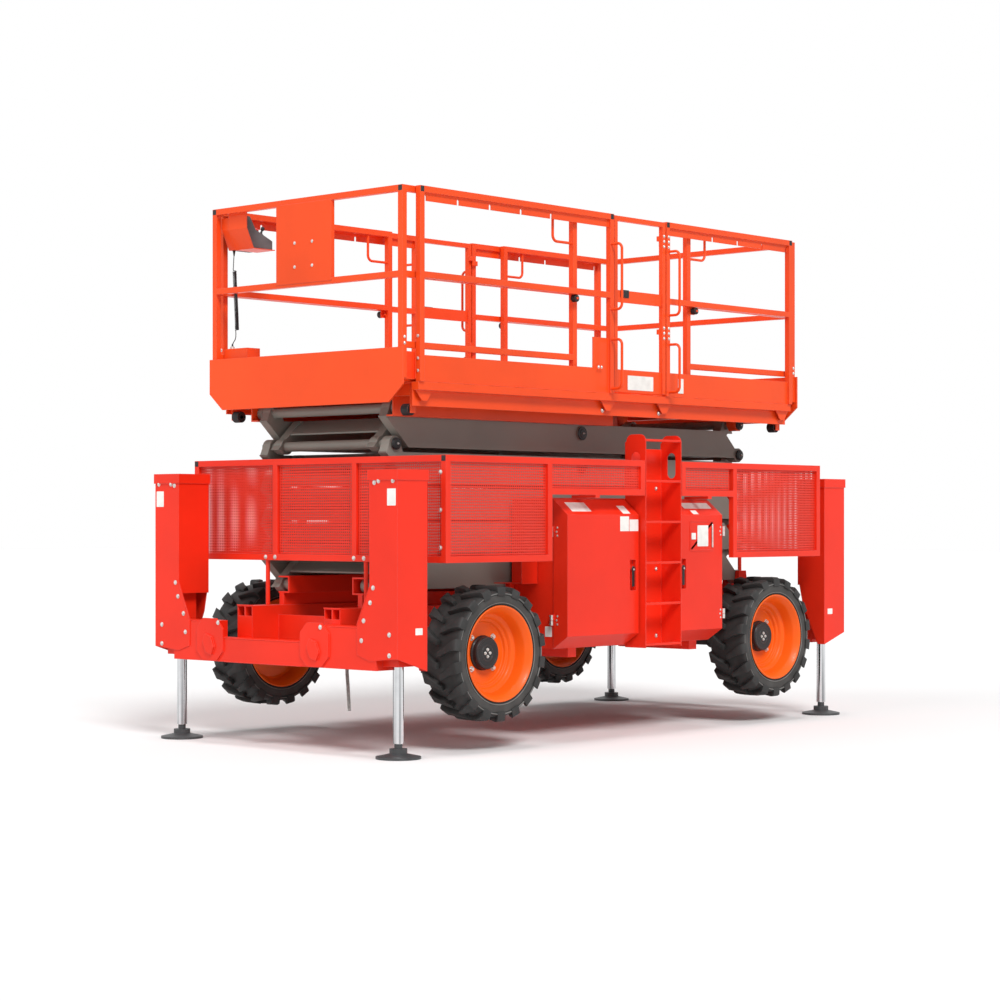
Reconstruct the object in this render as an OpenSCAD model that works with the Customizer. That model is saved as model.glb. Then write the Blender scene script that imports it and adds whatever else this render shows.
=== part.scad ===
// Rough-terrain scissor lift, stowed, standing on its four outrigger jacks.
// The origin is on the ground under the middle of the machine.
// +X points to the front, +Y to the left side and +Z up. Sizes are in millimetres.

/* [Wheels] */
// Distance between the front and the rear axle
wheelbase = 2850; // [2800:5:2880]
// Diameter of a tyre over its lugs
tyre_d = 838; // [800:1:850]
// Width of a tyre
tyre_w = 305; // [280:1:320]
// Distance between the middle planes of the left and right tyres
wheel_track = 1970; // [1930:1:1980]
// Height of the axles above the ground while the jacks carry the machine
axle_z = 594; // [570:1:620]
// Diameter over the rim's flanges
rim_d = 592; // [560:1:610]
// Diameter of the drive hub in the middle of a rim
hub_d = 196; // [180:1:220]
// Number of lugs on each side of a tyre
lugs = 18; // [14:1:20]
// Height of a lug above the tyre's body
lug_h = 30; // [20:1:36]
// Diameter of the spindles that the wheels turn on
spindle_d = 90; // [80:1:100]

/* [Steering] */
// Distance of each kingpin from the middle of the machine
kingpin_y = 640; // [630:1:660]
// Diameter of a kingpin
kingpin_d = 60; // [50:1:66]
// Length of the steering arms behind the kingpins
steer_arm = 190; // [170:1:210]

/* [Jacks] */
// Distance of the jacks from the middle, along the machine
jack_x = 2170; // [2160:1:2180]
// Distance of the jacks from the middle, across the machine
jack_y = 990; // [985:1:1000]
// Diameter of a jack's rod
jack_rod_d = 65; // [55:1:75]
// Diameter of a jack's foot
foot_d = 270; // [240:1:290]
// Length of a column's cover, along the machine
column_l = 250; // [240:1:256]
// Width of a column's cover, across the machine
column_w = 234; // [220:1:240]
// Height of the columns with their caps
column_top = 1707; // [1680:1:1740]
// Thickness of a column's cover plates
column_wall = 6; // [4:0.5:10]

/* [Chassis] */
// Height of the top of the chassis rails
rail_top = 870; // [850:1:880]
// Height of a chassis rail
rail_h = 230; // [220:1:260]
// Distance of the chassis rails' inner faces from the middle
rail_inner = 330; // [320:1:340]
// Width of a chassis rail
rail_w = 140; // [130:1:144]
// Height of the outrigger cross beams above the ground
beam_z = 520; // [500:1:540]
// Height of the middle of an outrigger cross beam
beam_h = 149; // [130:1:170]
// Height of the arms at the ends of an outrigger cross beam
beam_arm_h = 254; // [230:1:270]

/* [Scissor stack] */
// Height of the lowest scissor pins
pin_z = 1000; // [990:1:1010]
// Height between one row of pins and the next, stowed
pitch = 220; // [218:1:224]
// Distance of the front pins from the middle of the machine
pin_front = 1790; // [1780:1:1795]
// Distance of the rear pins from the middle of the machine
pin_rear = 1720; // [1710:1:1730]
// Height of a scissor arm
arm_h = 190; // [180:1:194]
// Height of a scissor arm above its middle pin
arm_above = 60; // [55:1:64]
// Thickness of a scissor arm
arm_t = 70; // [60:1:74]
// Distance of the inner arms' inner faces from the middle
inner_y = 400; // [396:1:404]
// Distance of the outer arms' inner faces from the middle
outer_y = 510; // [505:1:515]
// Diameter of the scissor pins
pin_d = 64; // [56:1:70]
// Diameter of the lugs round the scissor pins
lug_d = 100; // [92:1:104]
// Diameter of the rollers at the sliding ends
roller_d = 88; // [80:1:92]

/* [Lift cylinders] */
// Distance of a lift cylinder's two pins from the middle of the stack
lift_reach = 600; // [580:1:620]
// Outside diameter of a lift cylinder's barrel
barrel_d = 140; // [120:1:150]
// Diameter of a lift cylinder's rod
rod_d = 80; // [60:1:90]
// Diameter of a lift cylinder's pins
lift_pin_d = 60; // [50:1:66]

/* [Cabinets] */
// Distance of the cabinets' outer faces from the middle
cabinet_y = 975; // [970:1:978]
// Depth of a cabinet
cabinet_d = 355; // [340:1:358]
// Bottom of the cabinets
cabinet_z = 590; // [580:1:600]
// Top of the cabinets
cabinet_top = 1552; // [1540:1:1555]
// Thickness of the cabinets' walls
cabinet_wall = 10; // [6:0.5:14]
// From the front axle back to the front edge of the front doors
door_front_gap = 655; // [650:1:675]
// From the rear axle forward to the rear edge of the rear doors
door_rear_gap = 585; // [575:1:605]
// Depth of a door
door_d = 120; // [100:1:122]
// Thickness of the doors' sheet
door_wall = 8; // [5:0.5:12]

/* [Ladders] */
// Front face of a ladder
ladder_front = 48; // [40:1:52]
// Width of a ladder
ladder_w = 378; // [360:1:384]
// Distance of the ladders' outer edges from the middle
ladder_y = 1149; // [1140:1:1149]
// Height of a ladder's top
ladder_top = 1972; // [1940:1:1990]
// Height of the lowest rung
rung_z = 594; // [590:1:610]
// Height from one rung to the next
rung_pitch = 268; // [262:1:272]
// Number of rungs
rungs = 6; // [5:1:6]

/* [Guards] */
// Distance of the guards' end faces from the middle
guard_x = 1930; // [1925:1:1940]
// Distance of the guards' side faces from the middle
guard_y = 1149; // [1145:1:1149]
// Bottom of the tall guard panels
guard_z = 1154; // [1140:1:1170]
// Bottom of the short guard panels
guard_mid_z = 1570; // [1565:1:1580]
// Top of the guards
guard_top = 1799; // [1780:1:1810]
// Size of the guards' square tubes
guard_tube = 40; // [36:1:44]
// Thickness of the guards' mesh
mesh_t = 4; // [3:0.5:6]
// Distance from one wire of the mesh to the next
mesh_pitch = 78; // [60:1:90]
// Width of the mesh's wires
mesh_wire = 10; // [6:0.5:12]
// Distance of the dividers in the end guards from the middle
divider_y = 361; // [350:1:370]
// End of the tall panel on the front half of a side guard
tall_front = 970; // [960:1:990]
// End of the tall panel on the rear half of a side guard
tall_rear = 904; // [900:1:920]

/* [Platform] */
// Height of the platform's floor above the highest scissor pins
deck_h = 145; // [140:1:160]
// Thickness of the floor sheets
floor_t = 6; // [4:0.5:8]
// Half the length of the main platform
deck_x = 1913; // [1900:1:1920]
// Distance of the side rails' middle from the middle of the machine
rail_y = 900; // [895:1:905]
// Height of the guard rails above the floor
hand_h = 1179; // [1100:1:1200]
// Size of the rails' square tubes
tube = 38; // [34:1:40]
// Height of the side toe boards
toe_h = 161; // [150:1:180]
// Thickness of the toe boards
toe_t = 5; // [3:0.5:6]
// Front post of the gates
gate_front = 111; // [100:1:120]
// Rear post of the gates
gate_rear = 480; // [470:1:490]
// Clearance round a gate
gate_gap = 8; // [6:0.5:10]
// Distance between the notches under the top rails
notch_pitch = 288; // [270:1:300]
// Diameter of the bent grab bars
grab_d = 18; // [14:1:22]
// Diameter of the rollers under the deck's ends
deck_roller_d = 70; // [60:1:76]

/* [Extension decks] */
// Distance of the extension decks' ends from the middle
end_x = 2027; // [2020:1:2035]
// Distance of the extension rails' middle from the middle of the machine
slide_y = 850; // [846:1:852]
// Inner end of the front extension
front_inner = 409; // [400:1:420]
// Inner end of the rear extension
rear_inner = 750; // [740:1:760]
// Height of the end plates above the floor
end_plate_up = 204; // [190:1:220]
// Depth of the end plates below the floor
end_plate_down = 125; // [110:1:130]

/* [Hidden] */

$fn = 48;
run_fit = 0.05;
roll_gap = 0.3;
move_gap = 10;

axle_x = wheelbase / 2;
door_front = axle_x - door_front_gap;
door_rear = axle_x - door_rear_gap;
wheel_y = wheel_track / 2;
mid_x = (pin_front - pin_rear) / 2;
rail_outer = rail_inner + rail_w;
rail_low = rail_top - rail_h;
beam_front = jack_x + column_l / 2 - column_wall;
beam_deep = 140;
beam_back = beam_front - beam_deep;
column_out = jack_y + column_w / 2;
column_in = jack_y - column_w / 2;
outer_end = outer_y + arm_t;
inner_end = inner_y + arm_t;
pin_r = pin_d / 2;
pin_run = outer_end + 5;
track_wall = 10;
roller_r = roller_d / 2;
roller_w = 48;
floor_z = pins_at(5) + deck_h;
hand_z = floor_z + hand_h;
hand_low = hand_z - tube;
mid_rail_z = floor_z + 0.547 * hand_h;
toe_z = floor_z + toe_h;
end_plate_z = floor_z + end_plate_up;
end_plate_low = floor_z - end_plate_down;
seam_gap = 5;
fork_in = 112;
fork_t = 30;
motor_r = 98;
door_in = cabinet_y + seam_gap;
door_out = door_in + door_d;
knuckle_r = 11;
knuckle_h = 34;
hinge_pin_r = 6;
leaf_t = 9;
door_hinge_z = [cabinet_z + 150, cabinet_top - 250];
front_hinge = [door_front + knuckle_r + 3, cabinet_y + seam_gap / 2];
rear_hinge = [-door_rear - knuckle_r - 3, door_out];
gate_hinge_z = [floor_z + 385, hand_z - 165];
gate_hinge = [-gate_rear + tube / 2 + gate_gap / 2, rail_y - tube / 2 - knuckle_r - 2];

red = [0.86, 0.09, 0.05];
orange = [0.95, 0.24, 0.08];
rim_orange = [0.95, 0.33, 0.02];
arm_grey = [0.24, 0.22, 0.20];
black = [0.05, 0.05, 0.05];
steel = [0.72, 0.73, 0.75];

function pins_at(row) = pin_z + pitch * row;
function level_z(level) = pins_at(level - 1) + pitch / 2;

// A plain block between two corners.
module block(lo, hi) {
    translate(lo) cube(hi - lo);
}

// The children, and their mirror image on the other side.
module both_sides() {
    children();
    mirror([0, 1, 0]) children();
}

// The children, and the same turned round to the other end.
module both_ends() {
    children();
    rotate(180) children();
}

// A round bar across the machine, from y0 to y1, at a place [x, z].
module bar_y(place, r, y0, y1) {
    translate([place[0], y0, place[1]]) rotate([-90, 0, 0]) cylinder(r = r, h = y1 - y0);
}

// An outline in X and Z, made into a plate from y0 to y1.
module plate_y(points, y0, y1) {
    translate([0, y1, 0]) rotate([90, 0, 0]) linear_extrude(y1 - y0) polygon(points);
}

// An outline in Y and Z, made into a plate from x0 to x1.
module plate_x(points, x0, x1) {
    translate([x0, 0, 0]) rotate([90, 0, 90]) linear_extrude(x1 - x0) polygon(points);
}

// A bent bar in a plane of constant X: out along +Y from a post, up, and back, at a place [x, y].
module grab_bar(place, z0, z1, reach) {
    r = grab_d / 2;
    bend = 2 * grab_d;
    top = z1 - r;
    low = z0 + r;
    translate([place[0], place[1], 0]) {
        for (z = [low, top])
            translate([0, -1, z]) rotate([-90, 0, 0]) cylinder(r = r, h = reach - bend + 1);
        translate([0, reach, low + bend]) cylinder(r = r, h = top - low - 2 * bend);
        translate([0, reach - bend, top - bend]) rotate([90, 0, 90])
            rotate_extrude(angle = 90) translate([bend, 0]) circle(r = r);
        translate([0, reach - bend, low + bend]) rotate([90, 0, 90])
            rotate_extrude(angle = -90) translate([bend, 0]) circle(r = r);
    }
}

// Lift-off hinge, fixed half: a knuckle with its pin standing up out of it, at a place [x, y].
module hinge_fixed(place, z) {
    translate([place[0], place[1], z]) {
        cylinder(r = knuckle_r, h = knuckle_h);
        cylinder(r = hinge_pin_r, h = 2 * knuckle_h);
    }
}

// Lift-off hinge, moving half: a bored knuckle that stands on the fixed one; the children carry it.
module hinge_moving(place, z) {
    difference() {
        union() {
            translate([place[0], place[1], z + knuckle_h + roll_gap])
                cylinder(r = knuckle_r, h = knuckle_h - roll_gap);
            children();
        }
        translate([place[0], place[1], z]) cylinder(r = hinge_pin_r + run_fit, h = 3 * knuckle_h);
    }
}

// Chassis: two box rails with open tube ends, cross members, roller tracks and rear pivots.
module chassis_frame() {
    end_plate_t = 20;
    end_plate_half = rail_outer + 10;
    tube_in = rail_w / 2 - 12;
    color(red) union() {
        both_sides() {
            difference() {
                block([-beam_back, rail_inner, rail_low], [beam_back, rail_outer, rail_top]);
                for (side = [0, 1], end = [-1, 1])
                    translate([end * beam_back, rail_inner + rail_w * (1 + 2 * side) / 4,
                               rail_top - 6 - tube_in / 2])
                        cube([300, tube_in, tube_in], center = true);
            }
            roller_track();
            rear_pivot();
            cabinet_carriers();
            front_bracket();
        }
        both_ends() {
            block([beam_back - end_plate_t, -end_plate_half, beam_z],
                  [beam_back, end_plate_half, rail_low]);
            block([axle_x + 480, -rail_inner, rail_low - 60],
                  [axle_x + 500, rail_inner, rail_top - 60]);
        }
        cross_x = axle_x - 525;
        for (x = [-cross_x, 0, cross_x])
            block([x - 50, -rail_inner, rail_low + 30], [x + 50, rail_inner, rail_top - 90]);
    }
}

// Channel that guides the rollers at the front feet of the lowest arms.
module roller_track() {
    track_x0 = mid_x - 250;
    track_x1 = pin_front + roller_r + 40;
    track_in = inner_y - move_gap - 100;
    track_out = inner_y - move_gap;
    half = roller_r + roll_gap;
    for (lift = [-half - track_wall, half])
        block([track_x0, track_in, pin_z + lift], [track_x1, track_out, pin_z + lift + track_wall]);
    block([track_x0, track_in, pin_z - half - track_wall],
          [track_x1, track_in + track_wall, pin_z + half + track_wall]);
    block([track_x0, rail_inner + 10, rail_top], [track_x1, rail_inner + 50, pin_z - half - track_wall]);
}

// Ears and pin that carry the rear feet of the lowest arms.
module rear_pivot() {
    ear_half = 70;
    for (y = [[inner_end + 6, outer_y - 5], [outer_end + 5, outer_end + 40]])
        plate_y([[-pin_rear - ear_half, rail_top - 20], [-pin_rear + ear_half, rail_top - 20],
                 [-pin_rear + 40, pin_z + 45], [-pin_rear - 40, pin_z + 45]], y[0], y[1]);
    block([-pin_rear - ear_half, rail_outer, rail_top - 40],
          [-pin_rear + ear_half, outer_end + 40, rail_top - 15]);
    bar_y([-pin_rear, pin_z], pin_r, inner_end + 6, outer_end + 40);
}

// Bearers under the cabinets.
module cabinet_carriers() {
    for (x = [560, -700]) {
        block([x - 40, rail_inner, cabinet_z - 60], [x + 40, cabinet_y - 20, cabinet_z]);
        block([x - 40, rail_inner, cabinet_z - 60], [x + 40, rail_outer, rail_low]);
    }
}

// Sheet bracket in front of a cabinet that carries the guards.
module front_bracket() {
    x0 = door_front;
    x1 = x0 + 150;
    sheet = 6;
    foot = [rail_top - 40, rail_top + 30];
    shelf_z = guard_z - 150;
    post_y = outer_end + 25;
    lip_y = cabinet_y - 130;
    block([x0, rail_outer - 10, foot[0]], [x0 + 40, post_y + 40, foot[1]]);
    block([x0, post_y, foot[0]], [x0 + 40, post_y + 40, shelf_z + sheet]);
    block([x0, post_y, shelf_z], [x1, lip_y, shelf_z + sheet]);
    block([x0, lip_y - sheet, shelf_z], [x1, lip_y, guard_z]);
}

// Outrigger cross beams, one at each end, with the housings of their jacks.
module outrigger_beams() {
    color(red) both_ends() outrigger_beam();
}

module outrigger_beam() {
    flange_t = 12;
    flange_left = 400;
    flange_right = -565;
    housing = 130;
    housing_low = beam_z + 25;
    housing_top = column_top - 70;
    rod_top = housing_top - 20;
    arm_out = jack_y - housing / 2;
    difference() {
        union() {
            block([beam_back, flange_right, beam_z], [beam_front, flange_left, beam_z + beam_h]);
            block([beam_back, flange_left, beam_z], [beam_front, arm_out, beam_z + beam_arm_h]);
            block([beam_back, -arm_out, beam_z], [beam_front, flange_right, beam_z + beam_arm_h]);
            for (y = [flange_left, flange_right])
                beam_flange(y, flange_t);
            for (side = [-1, 1])
                block([jack_x - housing / 2, side * jack_y - housing / 2, housing_low],
                      [jack_x + housing / 2, side * jack_y + housing / 2, housing_top]);
        }
        for (side = [-1, 1])
            translate([jack_x, side * jack_y, housing_low - 1])
                cylinder(d = jack_rod_d + 2 * run_fit, h = rod_top - housing_low);
    }
}

// Eight-sided joint plate on the front of a cross beam.
module beam_flange(y, t) {
    half_w = 125;
    half_h = 134;
    cut = 62;
    cover = [42, 72];
    cover_t = 14;
    zc = beam_z + beam_arm_h / 2 + 10;
    plate_x([[y - half_w, zc - half_h + cut], [y - half_w + cut, zc - half_h],
             [y + half_w - cut, zc - half_h], [y + half_w, zc - half_h + cut],
             [y + half_w, zc + half_h - cut], [y + half_w - cut, zc + half_h],
             [y - half_w + cut, zc + half_h], [y - half_w, zc + half_h - cut]],
            beam_front, beam_front + t);
    // raised six-sided cover, leaning
    translate([beam_front, y, zc - 30]) rotate([25, 0, 0]) rotate([90, 0, 90])
        linear_extrude(t + cover_t)
            polygon([[-cover[0], -cover[1] / 2], [0, -cover[1]], [cover[0], -cover[1] / 2],
                     [cover[0], cover[1] / 2], [0, cover[1]], [-cover[0], cover[1] / 2]]);
}

// Sheet covers of the four jack columns, with their caps.
module jack_columns() {
    color(red) both_ends() both_sides() jack_column();
}

module jack_column() {
    x0 = jack_x - column_l / 2;
    x1 = jack_x + column_l / 2;
    cap_h = 62;
    lip = 7;
    low = beam_z + 76;
    low_back = beam_z - 4;
    arm_top = beam_z + beam_arm_h + 10;
    side_low = arm_top + 156;
    gusset_top = arm_top + 227;
    body_top = column_top - cap_h;
    gusset = 106;
    // end plate, with the gusset that laps the beam's arm
    plate_x([[column_out, body_top], [column_in, body_top], [column_in, gusset_top],
             [column_in - gusset, arm_top], [column_in - gusset, low + 14], [column_in, low - 20],
             [column_out, low]], x1 - column_wall, x1);
    // plate towards the wheel
    plate_x([[column_out, body_top], [column_in, body_top], [column_in, gusset_top],
             [column_in + 40, arm_top + 36], [column_out - 60, low_back], [column_out, low_back]],
            x0, x0 + column_wall);
    // outer side, lower at the wheel's end
    plate_y([[x0, body_top], [x1, body_top], [x1, low], [x0, low_back]],
            column_out - column_wall, column_out);
    // inner side, open below for the arm
    block([x0, column_in, side_low], [x1, column_in + column_wall, body_top]);
    block([x0 - lip, column_in - lip, body_top], [x1 + lip, column_out + lip, column_top]);
}

// A jack's rod with its swivel foot.
module jack(x, y) {
    foot_t = 14;
    hub_h = 46;
    hub_r = 53;
    neck_r = 24;
    neck_h = 30;
    rod_r = jack_rod_d / 2;
    rod_top = column_top - 497;
    color(steel) translate([x, y, 0]) rotate_extrude()
        polygon([[0, 0], [foot_d / 2, 0], [foot_d / 2, foot_t], [hub_r + 34, foot_t + 10],
                 [hub_r, foot_t + 18], [hub_r, foot_t + hub_h], [neck_r, foot_t + hub_h],
                 [neck_r, foot_t + hub_h + neck_h], [rod_r, foot_t + hub_h + neck_h],
                 [rod_r, rod_top], [0, rod_top]]);
}
module jack_front_left() { jack(jack_x, jack_y); }
module jack_front_right() { jack(jack_x, -jack_y); }
module jack_rear_left() { jack(-jack_x, jack_y); }
module jack_rear_right() { jack(-jack_x, -jack_y); }

// Front axle: a box beam under the rails with a fork and kingpin at each end.
module front_axle() {
    fork = 52;
    reach = fork_in + fork_t;
    beam_end = kingpin_y - 85;
    color(black) union() {
        block([axle_x - 70, -beam_end, rail_low - 120], [axle_x + 70, beam_end, rail_low]);
        both_sides() {
            for (z = [axle_z + fork_in, axle_z - reach])
                block([axle_x - fork, beam_end - 60, z], [axle_x + fork, kingpin_y + fork, z + fork_t]);
            block([axle_x - fork, beam_end - 60, axle_z - reach],
                  [axle_x + fork, beam_end, axle_z + reach]);
            translate([axle_x, kingpin_y, axle_z - reach]) cylinder(d = kingpin_d, h = 2 * reach);
        }
    }
}

// Rear axle: a box beam with a drive motor and spindle at each end.
module rear_axle() {
    color(black) union() {
        block([-axle_x - 70, -rail_outer - 200, rail_low - 120], [-axle_x + 70, rail_outer + 200, rail_low]);
        both_sides() wheel_motor(-axle_x, rail_outer + 100);
    }
}

// Drive motor and spindle of one left wheel, from y0 outwards.
module wheel_motor(x, y0) {
    disc_y = wheel_y - 30;
    bar_y([x, axle_z], motor_r, y0, disc_y - 8);
    bar_y([x, axle_z], spindle_d / 2, y0, disc_y + 40);
}

// Steering knuckle of the left wheel: a barrel round the kingpin, the motor and the steering arm.
module knuckle() {
    half = fork_in - 6;
    color(black) difference() {
        union() {
            translate([axle_x, kingpin_y, axle_z - half]) cylinder(r = 55, h = 2 * half);
            wheel_motor(axle_x, kingpin_y + 40);
            block([axle_x - steer_arm - 30, kingpin_y - 28, axle_z - 70],
                  [axle_x, kingpin_y + 28, axle_z - 40]);
            translate([axle_x - steer_arm, kingpin_y, axle_z - 90]) cylinder(r = 15, h = 50);
        }
        translate([axle_x, kingpin_y, axle_z - half - 1])
            cylinder(d = kingpin_d + 2 * run_fit, h = 2 * half + 2);
    }
}
module knuckle_left() { knuckle(); }
module knuckle_right() { mirror([0, 1, 0]) knuckle(); }

// Track rod between the two steering arms.
module tie_rod() {
    z0 = axle_z - 90 - 5;
    color(steel) difference() {
        union() {
            bar_y([axle_x - steer_arm, z0 + 12], 12, -kingpin_y, kingpin_y);
            both_sides() translate([axle_x - steer_arm, kingpin_y, z0]) cylinder(r = 30, h = 24);
        }
        both_sides() translate([axle_x - steer_arm, kingpin_y, z0 - 1])
            cylinder(r = 15 + run_fit, h = 26);
    }
}

// Tyre with its axis along Z, its outer side up.
module tyre(x, y) {
    color(black) wheel_place(x, y) lugged_ring(tyre_profile(), tread_from, lugs);
}

// Half of a tyre's section, from the bead to the edge of the tread, as [radius, height].
tread_from = 3;
function tyre_half() = let (half = tyre_w / 2, r = tyre_d / 2) [
    [rim_d / 2 - 40, half - 34], [rim_d / 2 + 1, half - 22], [rim_d / 2 + 50, half],
    [r - 22, half - 3], [r, half - 48]];
function tyre_profile() = let (up = tyre_half(), n = len(up))
    [for (i = [0 : 2 * n - 1]) i < n ? [up[i][0], -up[i][1]] : up[2 * n - 1 - i]];

// Angle and height of the lugs: on each side a lug fills half of each pitch, and the two sides
// alternate. The lugs run forwards towards the middle of the tread.
function lug_step(corner) = [0, 0.07, 0.5, 0.57][corner];
function is_lug(corner, upper) = upper ? corner == 1 || corner == 2 : corner == 0 || corner == 3;
function lug_point(profile, j, first, count, i) = let (
    pitch_a = 360 / count, corner = i % 4, n = len(profile),
    on_tread = j >= first && j < n - first,
    sunk = on_tread && !is_lug(corner, j >= n / 2),
    r = profile[j][0] - (sunk ? lug_h : 0),
    lean = on_tread ? 0.45 * pitch_a * (1 - abs(profile[j][1]) / (tyre_w / 2)) : 0,
    a = pitch_a * (floor(i / 4) + lug_step(corner)) + lean)
    [r * cos(a), r * sin(a), profile[j][1]];

// A ring round Z with a row of lugs on each side of its tread.
module lugged_ring(profile, first, count) {
    n = len(profile);
    steps = 4 * count;
    points = [for (i = [0 : steps - 1], j = [0 : n - 1]) lug_point(profile, j, first, count, i)];
    walls = [for (i = [0 : steps - 1], j = [0 : n - 1])
        let (k = (i + 1) % steps, m = (j + 1) % n)
        [i * n + j, k * n + j, k * n + m, i * n + m]];
    triangles = [for (w = walls) each [[w[0], w[1], w[2]], [w[0], w[2], w[3]]]];
    polyhedron(points, triangles, convexity = 6);
}

// Puts a wheel, drawn with its axis along Z and its outer side up, at its place.
module wheel_place(x, y) {
    translate([x, y, axle_z]) rotate([y > 0 ? -90 : 90, 0, 0]) children();
}

// Deep-dish rim with its disc and the drive hub's cover.
module rim(x, y) {
    half = tyre_w / 2;
    seat = rim_d / 2 - 40 - 4 * roll_gap;
    wall = 12;
    disc_z = -30;
    disc_t = 16;
    hub_z = 32;
    hub_r = hub_d / 2;
    bore = spindle_d / 2 + run_fit;
    color(rim_orange) wheel_place(x, y) rotate_extrude($fn = 96)
        polygon([[bore, disc_z], [seat - wall, disc_z], [seat - wall, -half + 20],
                 [rim_d / 2, -half + 8], [rim_d / 2, -half + 20], [seat, -half + 34],
                 [seat, half - 34], [rim_d / 2, half - 20], [rim_d / 2, half - 8], [seat - wall, half - 20],
                 [seat - wall, disc_z + disc_t], [hub_r, disc_z + disc_t], [hub_r, hub_z - 14],
                 [hub_r - 18, hub_z], [0, hub_z], [0, hub_z - 20], [bore, hub_z - 20]]);
}
module tyre_front_left() { tyre(axle_x, wheel_y); }
module tyre_front_right() { tyre(axle_x, -wheel_y); }
module tyre_rear_left() { tyre(-axle_x, wheel_y); }
module tyre_rear_right() { tyre(-axle_x, -wheel_y); }
module rim_front_left() { rim(axle_x, wheel_y); }
module rim_front_right() { rim(axle_x, -wheel_y); }
module rim_rear_left() { rim(-axle_x, wheel_y); }
module rim_rear_right() { rim(-axle_x, -wheel_y); }

// One pair of scissor arms' shared outline: the leaning ends face opposite ways at the two ends.
// rise is 1 for arms whose front is high and -1 for arms whose front is low.
function arm_points(zc, rise) =
    let (low = zc + arm_above - arm_h, high = zc + arm_above, lean = 200,
         front = pin_front + 80, rear = pin_rear + 30)
    rise > 0
        ? [[-rear, low], [front - lean, low], [front, high], [-rear + lean, high]]
        : [[-rear + lean, low], [front, low], [front - lean, high], [-rear, high]];

// Foot of a lug: it spreads from the pin down to the arm.
function lug_points(x, zc) = [[x - 75, zc + arm_above - 10], [x + 75, zc + arm_above - 10],
                              [x + 46, zc + pitch / 2 + 12], [x - 46, zc + pitch / 2 + 12]];

// Outer arms: high at the front, with the pin tube that the next inner arms hang on.
module outer_arms(level) {
    zc = level_z(level);
    low_pin = [-pin_rear, zc - pitch / 2];
    high_pin = [pin_front, zc + pitch / 2];
    color(arm_grey) difference() {
        union() {
            both_sides() {
                plate_y(arm_points(zc, 1), outer_y, outer_end);
                plate_y(lug_points(pin_front, zc), outer_y, outer_end);
                bar_y(high_pin, lug_d / 2, outer_y, outer_end);
                bar_y(low_pin, lug_d / 2, outer_y, outer_end);
                if (level == 5)
                    bar_y(high_pin, roller_r, outer_end + move_gap, outer_end + move_gap + roller_w);
            }
            bar_y(high_pin, pin_r, level == 5 ? -outer_end - move_gap - roller_w : -pin_run,
                  level == 5 ? outer_end + move_gap + roller_w : pin_run);
        }
        both_sides() {
            bar_y(low_pin, pin_r + run_fit, outer_y - 1, outer_end + 1);
            bar_y([mid_x, zc], pin_r + run_fit, outer_y - 1, outer_end + 1);
        }
    }
}
module outer_arms_1() { outer_arms(1); }
module outer_arms_2() { outer_arms(2); }
module outer_arms_3() { outer_arms(3); }
module outer_arms_4() { outer_arms(4); }
module outer_arms_5() { outer_arms(5); }

// Inner arms: high at the rear, with a pin tube there, the middle pins, a front cross plate
// and, on some levels, the cross tube of a lift cylinder.
module inner_arms(level) {
    zc = level_z(level);
    low_pin = [pin_front, zc - pitch / 2];
    high_pin = [-pin_rear, zc + pitch / 2];
    color(arm_grey) difference() {
        union() {
            both_sides() {
                plate_y(arm_points(zc, -1), inner_y, inner_end);
                plate_y(lug_points(-pin_rear, zc), inner_y, inner_end);
                bar_y(high_pin, lug_d / 2, inner_y, inner_end);
                bar_y(low_pin, lug_d / 2, inner_y, inner_end);
                bar_y([mid_x, zc], pin_r, inner_end - 10, outer_end + 8);
                bar_y([mid_x, zc], 48, outer_end + 1, outer_end + 12);
                if (level == 1)
                    lower_roller(low_pin);
            }
            bar_y(high_pin, pin_r, -pin_run, pin_run);
            plate_y([[pin_front - 150, zc + arm_above], [pin_front - 30, zc - 25],
                     [pin_front - 30, zc - 35], [pin_front - 45, zc - 35],
                     [pin_front - 165, zc + arm_above]], -inner_y, inner_y);
            block([605 - pin_rear, -inner_y, zc - 60], [685 - pin_rear, inner_y, zc + 20]);
            if (level == 1 || level == 3)
                bar_y(barrel_pin(level), lift_pin_d / 2, -inner_y, inner_y);
            if (level == 2 || level == 4)
                rod_bracket(level);
        }
        both_sides() if (level > 1)
            bar_y(low_pin, pin_r + run_fit, inner_y - 1, inner_end + 1);
    }
}
module inner_arms_1() { inner_arms(1); }
module inner_arms_2() { inner_arms(2); }
module inner_arms_3() { inner_arms(3); }
module inner_arms_4() { inner_arms(4); }
module inner_arms_5() { inner_arms(5); }

// Roller on a stub at the front foot of the lowest inner arms.
module lower_roller(place) {
    bar_y(place, pin_r, inner_y - move_gap - 20, inner_end);
    bar_y(place, roller_r, inner_y - move_gap - 70, inner_y - move_gap - 20);
}

// The scissor arms' lean when stowed, and the two ends of a lift cylinder.
arm_lean = atan(pitch / (pin_front + pin_rear));
function barrel_pin(level) = [mid_x - lift_reach, level_z(level) + lift_reach * tan(arm_lean)];
function rod_pin(level) = [mid_x + lift_reach, level_z(level) - lift_reach * tan(arm_lean)];

eye_w = 80;
ear_gap = 6;
ear_t = 16;

// Cross tube above a rod's eye, with the two ears that hold its pin's stubs.
module rod_bracket(level) {
    pin = rod_pin(level);
    tube_up = 92;
    bar_y([pin[0], pin[1] + tube_up], lift_pin_d / 2, -inner_y, inner_y);
    both_sides() {
        plate_y([[pin[0] - 36, pin[1] + tube_up], [pin[0] - 36, pin[1] - 30], [pin[0] + 36, pin[1] - 30],
                 [pin[0] + 36, pin[1] + tube_up]], eye_w / 2 + ear_gap, eye_w / 2 + ear_gap + ear_t);
        bar_y(pin, lift_pin_d / 2, eye_w / 2 + ear_gap, eye_w / 2 + ear_gap + ear_t + 20);
    }
}

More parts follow.
